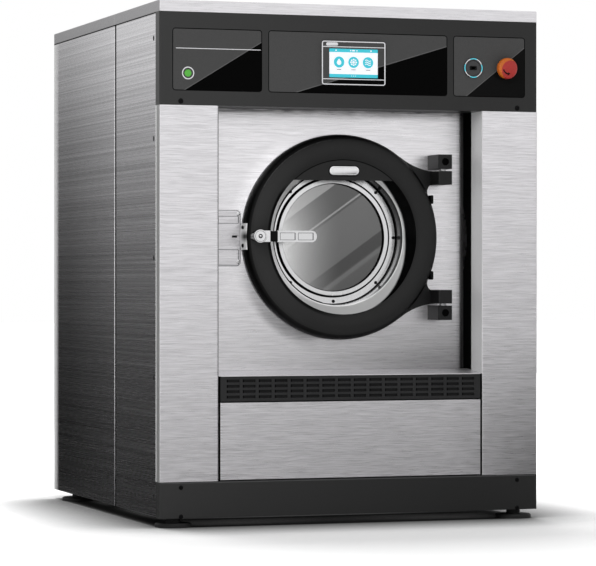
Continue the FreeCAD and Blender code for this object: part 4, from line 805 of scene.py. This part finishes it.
# Painted shadow: dark strips in the joints beside the lower panel, and in the side grooves, stand for the shade in the
# gaps
seam_bars = []
for side, edge in ((-1, lower_low.x), (1, lower_high.x)):
    middle = edge + side * seam_shift
    seam_bars.append(((middle - seam_width / 2, front_y - film, plinth_top),
                      (middle + seam_width / 2, front_y + film, vent_high.z)))
for side, edge in ((-1, left_x), (1, right_x)):
    inner, outer = sorted((edge - side * film, edge - side * side_groove_depth))
    seam_bars.append(((inner, front_side_high.y, front_side_low.z),
                      (outer, front_side_high.y + side_groove_width, front_side_high.z)))
bar_piece("panel_seams", joint_and_shadow_black, *seam_bars)

edge_width = 0.0018
# Painted highlights: light lines along the right pillar's edges and the sill's front edge
bar_piece("pillar_edges", edge_highlight, *(((x, front_y - film, vent_high.z), (x + edge_width, front_y + film, fascia_low))
                                        for x in (right_pillar_low.x, right_x - 0.0022)))
bar_piece("sill_edge", edge_highlight, ((lower_low.x + 0.003, front_y - film, vent_high.z - 0.0006),
                                    (lower_high.x - 0.003, front_y + 0.002, vent_high.z + 0.0014)))
bar_piece("left_pillar_edge", edge_grey, ((pillar_high.x - 0.0014, front_y - film, vent_high.z),
                                          (pillar_high.x, front_y + film, fascia_low)))
# Painted highlight: a lighter line along the plinth's top edge
bar_piece("plinth_edge", edge_dim, ((left_x + 0.004, front_y - film, plinth_top - 0.0042),
                                    (right_x - 0.004, front_y + film, plinth_top - 0.002)))

vent_columns, vent_rows = 16, 4
vent_pitch_x, vent_pitch_z = 0.0473, 0.015
vent_slot_length, vent_slot_height = 0.038, 0.008
vent_margin = 0.006
tick_width = 0.003
vent_middle = (vent_low.z + vent_high.z) / 2
# Painted shade: dark ticks at one end of each slot stand for the shade in the slot openings
tick_bars = []
for column in range(vent_columns):
    for row in range(vent_rows):
        x = (column - (vent_columns - 1) / 2) * vent_pitch_x - vent_slot_length / 2
        z = vent_middle + (row - (vent_rows - 1) / 2) * vent_pitch_z
        tick_bars.append(((x, vent_low.y + 0.0005, z - vent_slot_height / 2),
                          (x + tick_width, vent_low.y + 0.0034, z + vent_slot_height / 2)))
bar_piece("vent_backing", louvre_black, ((vent_low.x + vent_margin, vent_low.y + 0.0035, vent_low.z + vent_margin),
                                         (vent_high.x - vent_margin, vent_low.y + 0.0045, vent_high.z - vent_margin)))
bar_piece("vent_slot_ends", joint_and_shadow_black, *tick_bars)


# Screws on the cabinet

fascia_screw_x = 0.508
fascia_screw_rise = 0.011
plinth_screw_x = 0.5075
plinth_screw_drops = (0.0155, 0.0965)
cabinet_screw_radius = 0.0074
cabinet_screw_height = 0.0028
cabinet_screws = bmesh.new()
for side in (-1, 1):
    socket_screw(cabinet_screws, side * fascia_screw_x, front_y + sink, fascia_low + fascia_screw_rise,
                 cabinet_screw_radius, cabinet_screw_height)
    for drop in plinth_screw_drops:
        socket_screw(cabinet_screws, side * plinth_screw_x, front_y + sink, plinth_top - drop,
                     cabinet_screw_radius * 0.85, cabinet_screw_height)
finish_piece("cabinet_screws", cabinet_screws, screw_black, "cabinet")


# Touchscreen

bezel_x, bezel_z = centre(bezel_low, bezel_high)
bezel_width = bezel_high.x - bezel_low.x
bezel_height = bezel_high.z - bezel_low.z
bezel_y = bezel_low.y
bezel_corner = 0.007
trim_width = 0.0032
trim_proud = 0.0011
strip_inset = 0.0165
strip_width = bezel_width - 2 * trim_width

trim = bmesh.new()
frame_border(trim, bezel_x, bezel_z, (bezel_width, bezel_height, bezel_corner),
             (strip_width, bezel_height - 2 * trim_width, bezel_corner - trim_width), bezel_y, trim_proud)
for way in (1, -1):
    tablet(trim, bezel_x, bezel_z + way * (bezel_height / 2 - strip_inset), strip_width, trim_width * 0.9,
           trim_width * 0.4, bezel_y, trim_proud * 0.7, film, 2)
finish_piece("screen_trim", trim, trim_light, "cabinet")

pill_width, pill_height = 0.036, 0.0105
pill = bmesh.new()
tablet(pill, bezel_low.x + 0.0305, bezel_high.z - 0.0095, pill_width, pill_height, pill_height * 0.48, bezel_y, 0.0016,
       0.0005)
finish_piece("screen_nameplate_blank", pill, trim_light, "cabinet")

screen_x = centre(screen_low, screen_high)[0]
screen_width = screen_high.x - screen_low.x
screen_y = screen_low.y
image_sheet = 0.0002
sheet_bevel = 0.00005
bar_height = 0.0098
bar_levels = (screen_high.z - bar_height / 2, screen_low.z + bar_height / 2)
icon_radius = 0.0158
icon_pitch = 0.0437
icon_z = screen_low.z + (screen_high.z - screen_low.z) * 0.535

bars = bmesh.new()
for z in bar_levels:
    tablet(bars, screen_x, z, screen_width, bar_height, 0.0004, screen_y, image_sheet, sheet_bevel, 1)
for step in (-1, 0, 1):
    disc(bars, screen_x + step * icon_pitch, screen_y, icon_z, icon_radius, image_sheet)
finish_piece("screen_bars", bars, screen_teal, "cabinet")

marks = bmesh.new()
mark_y = screen_y - image_sheet
mark_sizes = [(share, bar_levels[0], width, bar_height * 0.36)
              for share, width in ((-0.36, 0.004), (-0.06, 0.003), (0.0, 0.009), (0.07, 0.003), (0.36, 0.004))]
mark_sizes += [(share, bar_levels[1], 0.0022, 0.0022) for share in (-0.04, 0.0, 0.04)]
for share, z, width, height in mark_sizes:
    tablet(marks, screen_x + share * screen_width, z, width, height, 0.0008, mark_y, image_sheet, sheet_bevel, 2)

# Icons: a drop, a ring of beads and a set of waves
drop = []
for step in range(24):
    angle = math.tau * step / 24
    swell = 1.0 + 0.62 * max(0.0, math.sin(angle)) ** 6
    drop.append((screen_x - icon_pitch + icon_radius * 0.42 * math.cos(angle),
                 icon_z - icon_radius * 0.1 + icon_radius * 0.42 * swell * math.sin(angle)))
plate(marks, drop, mark_y, image_sheet, sheet_bevel)
for x, z in circle(screen_x, icon_z, icon_radius * 0.5, 8):
    disc(marks, x, mark_y, z, icon_radius * 0.16, image_sheet, 12)
disc(marks, screen_x, mark_y, icon_z, icon_radius * 0.24, image_sheet, 20)
for row in (-1, 0, 1):
    wave = []
    for edge, steps in ((1, range(13)), (-1, range(12, -1, -1))):
        for step in steps:
            along = (step / 12 - 0.5) * icon_radius * 1.1
            rise = math.sin(step / 12 * math.tau) * icon_radius * 0.12
            wave.append((screen_x + icon_pitch + along,
                         icon_z + row * icon_radius * 0.36 + rise + edge * icon_radius * 0.07))
    plate(marks, wave, mark_y, image_sheet, 0.00004)
finish_piece("screen_marks", marks, screen_white, "cabinet")

captions = bmesh.new()
for step in (-1, 0, 1):
    tablet(captions, screen_x + step * icon_pitch, icon_z - icon_radius * 1.35, icon_radius * 0.9, 0.0016, 0.0005,
           screen_y, image_sheet, sheet_bevel, 2)
finish_piece("screen_captions", captions, suspension_grey, "cabinet")


# Socket, stop button mark, window outlines and lamp

socket_x, socket_z = centre(socket_low, socket_high)
light_radius = (socket_high.x - socket_low.x) / 2 * 0.93
light_width = 0.0026
light_parts = 8
light_length = math.tau / light_parts
light_height = 0.0006
light_rings = (bmesh.new(), bmesh.new())
for part in range(light_parts):
    start = light_length * (part + 0.5)
    arc_strip(light_rings[part % 2], socket_x, socket_low.y + 0.0001, socket_z, light_radius, light_width, start,
              start + light_length, light_height)
finish_piece("socket_light", light_rings[0], trim_light, "cabinet")
finish_piece("socket_light_tint", light_rings[1], lamp_cyan, "cabinet")

port_outer = (0.0205, 0.0115, 0.0016)
port_inner = (0.0135, 0.0062, 0.0006)
port_frame = bmesh.new()
frame_border(port_frame, socket_x, socket_z, port_outer, port_inner, socket_low.y + 0.0002, 0.0006)
finish_piece("usb_port_frame", port_frame, collar_black, "cabinet")

crown_drop = 0.0021
arrow_y = stop_low.y + crown_drop
arrow_height = 0.0016
arrow_reach = stop_radius * 0.56
arrow_half = 0.0045
arrow_tip = math.radians(272)
stop_arrow = bmesh.new()
arc_strip(stop_arrow, stop_x, arrow_y, stop_z, arrow_reach, 0.0032, math.radians(195), math.radians(262), arrow_height)
arrow_head = [(arrow_reach + arrow_half, -0.2), (arrow_reach, 0.22), (arrow_reach - arrow_half, -0.2)]
plate(stop_arrow, [polar(stop_x, stop_z, reach, arrow_tip + turn) for reach, turn in arrow_head], arrow_y, arrow_height,
      0.0002)
finish_piece("stop_arrow", stop_arrow, screw_black, "stop_head")

outline_width = 0.0022
window_z = (window_low.z + window_high.z) / 2
window_height = window_high.z - window_low.z
outlines = bmesh.new()
for start_x, end_x in ((window_low.x, left_end), (left_end + window_gap, right_start - window_gap),
                       (right_start, window_high.x)):
    width = end_x - start_x
    frame_border(outlines, (start_x + end_x) / 2, window_z,
                 (width + outline_width, window_height + outline_width, 0.0091),
                 (width - outline_width, window_height - outline_width, 0.0069), front_y + film, film * 2)
finish_piece("window_outlines", outlines, joint_and_shadow_black, "cabinet")

overlay_y = window_low.y + 0.0002
trim_line_z = 1.3378
trim_line = bmesh.new()
tablet(trim_line, window_low.x + left_window / 2 + 0.003, trim_line_z, left_window - 0.012, 0.0022, 0.0008, overlay_y,
       0.0005, 0.0001, 2)
finish_piece("window_trim_line", trim_line, trim_light, "cabinet")

lamp_x, lamp_z, lamp_radius = -0.487, 1.2686, 0.0185
for name, material, profile in (
        ("status_lamp_ring", trim_light, ((0.78, 0.0), (0.8, 0.0016), (0.96, 0.0016), (1.0, 0.0))),
        ("status_lamp_lens", lamp_green, ((0.0, 0.0026), (0.3, 0.0024), (0.5, 0.0014), (0.56, 0.0)))):
    lamp = bmesh.new()
    turned(lamp, [(lamp_radius * share, height) for share, height in profile], lamp_x, overlay_y, lamp_z)
    finish_piece(name, lamp, material, "cabinet")


# Door: clamp ring, lines, badge and bumpers

dish_depth = 0.0465
clamp_thickness = 0.0025
bezel_ring_thickness = 0.004
floor_y = panel_y + dish_depth
clamp_y = floor_y - clamp_thickness
brow_y = panel_y - 0.0489
shoulder_y = panel_y - 0.0479

clamp_screw_circle = 0.185
clamp_screw_count = 8
clamp_screws = bmesh.new()
for x, z in circle(door_x, door_z, clamp_screw_circle, clamp_screw_count):
    socket_screw(clamp_screws, x, clamp_y + sink, z, 0.0048, 0.0028)
finish_piece("clamp_ring_screws", clamp_screws, screw_black, "door")

# Dark joints at the glass and on both sides of the clamp ring, each wider on one side as painted shadow, as (shift,
# outer radius, shift, inner radius, depth)
joint_shadow_rings = bmesh.new()
for outer_shift, outer, inner_shift, inner, y in ((0.0, 0.1562, -0.0007, 0.1547, floor_y),
                                                  (-0.0021, 0.1744, 0.0, 0.1702, clamp_y - film),
                                                  (-0.001, 0.1707, 0.0005, 0.169, floor_y - bezel_ring_thickness),
                                                  (0.0, 0.1938, -0.0018, 0.1916, clamp_y - film)):
    border(joint_shadow_rings, circle(door_x + outer_shift, door_z, outer), circle(door_x + inner_shift, door_z, inner), y,
           film)
# Painted shadow: a dark arc in the groove on the left of the clamp ring
groove_arc = math.radians(80.0)
arc_strip(joint_shadow_rings, door_x, clamp_y, door_z, 0.183, 0.0042, math.pi - groove_arc, math.pi + groove_arc, film, 60,
          0.0096)
finish_piece("clamp_ring_joint_shadows", joint_shadow_rings, joint_and_shadow_black, "door")

# A dark groove line on the brow, and a painted highlight along the ring's shoulder at the upper left
for name, material, y, radius, width, start, end, height, steps in (
        ("brow_line", joint_and_shadow_black, brow_y, 0.221, 0.0026, 47.0, 133.0, film, 40),
        ("shoulder_highlight", edge_grey, shoulder_y, 0.2797, 0.0011, 98.0, 150.0, 0.0007, 30)):
    line = bmesh.new()
    arc_strip(line, door_x, y, door_z, radius, width, math.radians(start), math.radians(end), height, steps)
    finish_piece(name, line, material, "door")

badge_z = 1.004
badge_width, badge_height = 0.089, 0.026
badge_thickness = 0.0016
for name, material, growth, corner, y, bevel in (
        ("badge_back", screw_black, 0.005, 0.0148, brow_y + sink, 0.0004),
        ("badge_blank", satin_steel, 0.0, 0.0124, brow_y - 0.0012, 0.0007)):
    badge = bmesh.new()
    tablet(badge, door_x, badge_z, badge_width + growth, badge_height + growth, corner, y, badge_thickness, bevel, 10)
    finish_piece(name, badge, material, "door")
badge_border = bmesh.new()
frame_border(badge_border, door_x, badge_z, (badge_width - 0.004, badge_height - 0.004, 0.0104),
             (badge_width - 0.007, badge_height - 0.007, 0.0089), brow_y - 0.0028, 0.0005, 10)
finish_piece("badge_border", badge_border, mirror_steel, "door")

hinge_x = (block_low.x + block_high.x) / 2
hinge_rise = 0.218
bolt_radius = 0.0109
bumper_x, bumper_rise = 0.2765, 0.110
bumper_width, bumper_height = 0.009, 0.025
keeper_screw_rise = 0.026
keeper_screw_facing = Vector((-0.97, -0.24, 0))
bolt_wells, bumpers, keeper_screws = bmesh.new(), bmesh.new(), bmesh.new()
for way in (1, -1):
    turned(bolt_wells, [(0, 0.0), (bolt_radius, 0.0)], hinge_x, block_low.y + 0.0016, door_z + way * hinge_rise)
    tablet(bumpers, bumper_x, door_z + way * bumper_rise, bumper_width, bumper_height, 0.0035, panel_y - 0.012,
           0.022, 0.0015, 5)
    socket_screw(keeper_screws, keeper_low.x + 0.0016, (keeper_low.y + keeper_high.y) / 2 - 0.005,
                 door_z + way * keeper_screw_rise, 0.0056, 0.002, keeper_screw_facing)
# Painted shade: black discs fill the hinge holes
finish_piece("hinge_bolt_wells", bolt_wells, joint_and_shadow_black, "tub_group")
finish_piece("door_bumpers", bumpers, collar_black, "door")
finish_piece("keeper_screws", keeper_screws, screw_black, "door")


# Lock plate: screws and pressed outlines

lock_screw_x = -0.304
lock_screws = bmesh.new()
for rise, lean in ((0.0648, 0.5), (-0.0711, -0.35)):
    slotted_screw(lock_screws, lock_screw_x, lock_low.y + 0.0015, door_z + rise, 0.0055, 0.0022, 0.0014, lean)
finish_piece("lock_screws", lock_screws, satin_steel, "tub_group")

lock_line = 0.0013
lock_marks = bmesh.new()
for x0, x1, z0, z1, corner, y in ((-0.366, -0.302, 0.852, 0.8735, 0.0015, lock_low.y),
                                  (-0.366, -0.302, 0.7335, 0.7785, 0.0015, lock_low.y),
                                  (lock_low.x + 0.001, lock_high.x - 0.0008, lock_low.z + 0.0008, lock_high.z - 0.0008,
                                   0.011, lock_high.y - 0.002)):
    frame_border(lock_marks, (x0 + x1) / 2, (z0 + z1) / 2, (x1 - x0, z1 - z0, corner + lock_line),
                 (x1 - x0 - 2 * lock_line, z1 - z0 - 2 * lock_line, corner), y, film)
finish_piece("lock_plate_lines", lock_marks, cast_grey, "tub_group")


# Handle: lines and dot of the hub, outlines on the lever

cap_radius = 0.019
hub_x = hub_low.x + cap_radius
# The inner dark ring is painted shade of a recess round the dot; the outer ring is a thin line
hub_lines = bmesh.new()
for outer, inner, steps in ((0.0062, 0.0036, 32), (0.0158, 0.0148, 48)):
    border(hub_lines, circle(hub_x, door_z, outer, steps), circle(hub_x, door_z, inner, steps), hub_low.y, film)
finish_piece("hub_lines", hub_lines, screw_black, "handle")
hub_dot = bmesh.new()
turned(hub_dot, [(0, 0.0024), (0.0016, 0.0021), (0.0028, 0.0012), (0.0034, 0.0)], hub_x, hub_low.y + film, door_z, 28)
finish_piece("hub_dot", hub_dot, mirror_steel, "handle")

lever_mark_length = 0.044
lever_lines = bmesh.new()
for start in (0.010, 0.064):
    frame_border(lever_lines, lever_low.x + start + lever_mark_length / 2, door_z,
                 (lever_mark_length + 0.0022, 0.0212, 0.0012), (lever_mark_length - 0.0004, 0.0186, 0.0004),
                 lever_low.y, film, 2)
finish_piece("lever_lines", lever_lines, suspension_grey, "handle")


# Floor, light and camera

floor_half = 40.0
floor_lift = 0.2
floor_far_lift = 0.7
contact_reach = 0.32
contact_depth = 2.5
card_height = 0.003


def studio_floor():
    """A white floor, shaded close to the machine and plain white away from it."""
    shader = Shader("studio_floor", roughness=0.9, specular_ior_level=0.05, emission_color=grey(1.0))
    shade = shader.out("ShaderNodeAmbientOcclusion", {"Distance": contact_reach}, "AO", samples=12) ** contact_depth
    paint = shader.noise(0.6, 2.0).blend(0.9, 0.92)
    across, along, _ = shader.axes()
    lift = shader.math("SQRT", squares(across, along)).span(floor_lift, floor_far_lift, 1.2, 4.0)
    return shader.feed(base_color=shade.blend(0.0, paint), emission_strength=shader.seen() * (lift * shade))


def card_shader(name):
    """The start of a studio card: black but for its own light."""
    return Shader(name, base_color=grey(0.0), specular_ior_level=0.0, emission_color=grey(1.0))


def front_card_tone():
    """The card before the machine: light above and to the left, darker below and to the right."""
    shader = card_shader("front_card_tone")
    across, _, up = shader.axes()
    corner = across.span(0.0, 0.2, 1.4, 2.0) * up.ramp(0.6, 0.1)
    tone = up * 0.5 + (across - 0.4) * -0.14 + 0.6 - corner
    return shader.feed(emission_strength=shader.math("MINIMUM", tone | 0.05, 1.0))


def side_card_tone():
    """The card behind and to the left: dark near the floor and light towards its top."""
    shader = card_shader("side_card_tone")
    across, _, up = shader.axes()
    tone = shader.math("EXPONENT", up * 2.0) * across.span(1.6, 0.55, -1.77, -1.35) * 0.021
    return shader.feed(emission_strength=shader.math("MINIMUM", tone, 1.0))


def front_floor_tone():
    """The floor before the machine as its front mirrors it: grey, darker to the right."""
    shader = card_shader("floor_card_tone")
    return shader.feed(emission_strength=shader.axes()[0].span(0.32, 0.0, -0.4, 1.3))


def dark_floor_tone():
    """The floor on the left as the side mirrors it."""
    shader = card_shader("dark_floor_tone")
    return shader.feed(emission_strength=0.022)


def stage_quad(name, low, high, material):
    """A level or an upright quad of the studio between two corners."""
    (x0, y0, z0), (x1, y1, z1) = low, high
    mesh = bpy.data.meshes.new(name)
    mesh.from_pydata([(x0, y0, z0), (x1, y0, z0), (x1, y1, z1), (x0, y1, z1)], [], [(0, 1, 2, 3)])
    mesh.materials.append(material)
    quad = put_object(name, mesh)
    return quad


def flag(name, low, high, material):
    """A studio card that only reflections see."""
    card = stage_quad(name, low, high, material)
    card.visible_camera = False
    card.visible_diffuse = False
    card.visible_transmission = False
    card.visible_shadow = False


def area_light(name, place, target, width, height, power, mirrored=True):
    lamp = bpy.data.lights.new(name, "AREA")
    lamp.shape = "RECTANGLE"
    lamp.size = width
    lamp.size_y = height
    lamp.energy = power
    holder = put_object(name, lamp)
    holder.location = place
    holder.rotation_euler = (Vector(target) - Vector(place)).to_track_quat("-Z", "Y").to_euler()
    holder.visible_camera = False
    holder.visible_glossy = mirrored


stage_quad("floor", (-floor_half, -floor_half, 0), (floor_half, floor_half, 0), studio_floor())
flag("dark_floor_card", (-6.0, -1.4, card_height), (-0.6, 3.6, card_height), dark_floor_tone())
flag("front_floor_card", (-3.0, -4.0, card_height), (5.0, -0.66, card_height), front_floor_tone())
flag("front_card", (-3.0, -4.0, 0.004), (5.0, -4.0, 4.0), front_card_tone())
flag("side_card", (-6.0, 3.6, 0.004), (-0.58, 3.6, 2.6), side_card_tone())

area_light("key_light", (-2.6, -4.2, 3.6), (0.0, 0.0, 0.8), 2.6, 2.0, 50.0)
area_light("back_light", (0.0, 2.0, 4.4), (0.0, -0.8, 0.0), 3.6, 3.0, 260.0, mirrored=False)

scene = bpy.context.scene
scene.world = bpy.data.worlds.new("studio")
scene.world.use_nodes = True
sky = Nodes(scene.world.node_tree)
strength = sky.seen().span(0.5, 1.0, 0.0, 1.0)
background = sky.out("ShaderNodeBackground", {"Color": grey(1.0), "Strength": strength})
sky.put(background, sky.tree.nodes.new("ShaderNodeOutputWorld").inputs[0])

camera_data = bpy.data.cameras.new("camera")
camera_data.sensor_width = sensor_width
camera_data.lens = focal_pixels / image_width * sensor_width
camera = put_object("camera", camera_data)
camera.location = (-camera_left, front_y - camera_distance, camera_height)
camera.rotation_euler = (math.radians(90.0), 0.0, math.radians(-camera_turn))
scene.camera = camera
scene.view_settings.view_transform = "Standard"
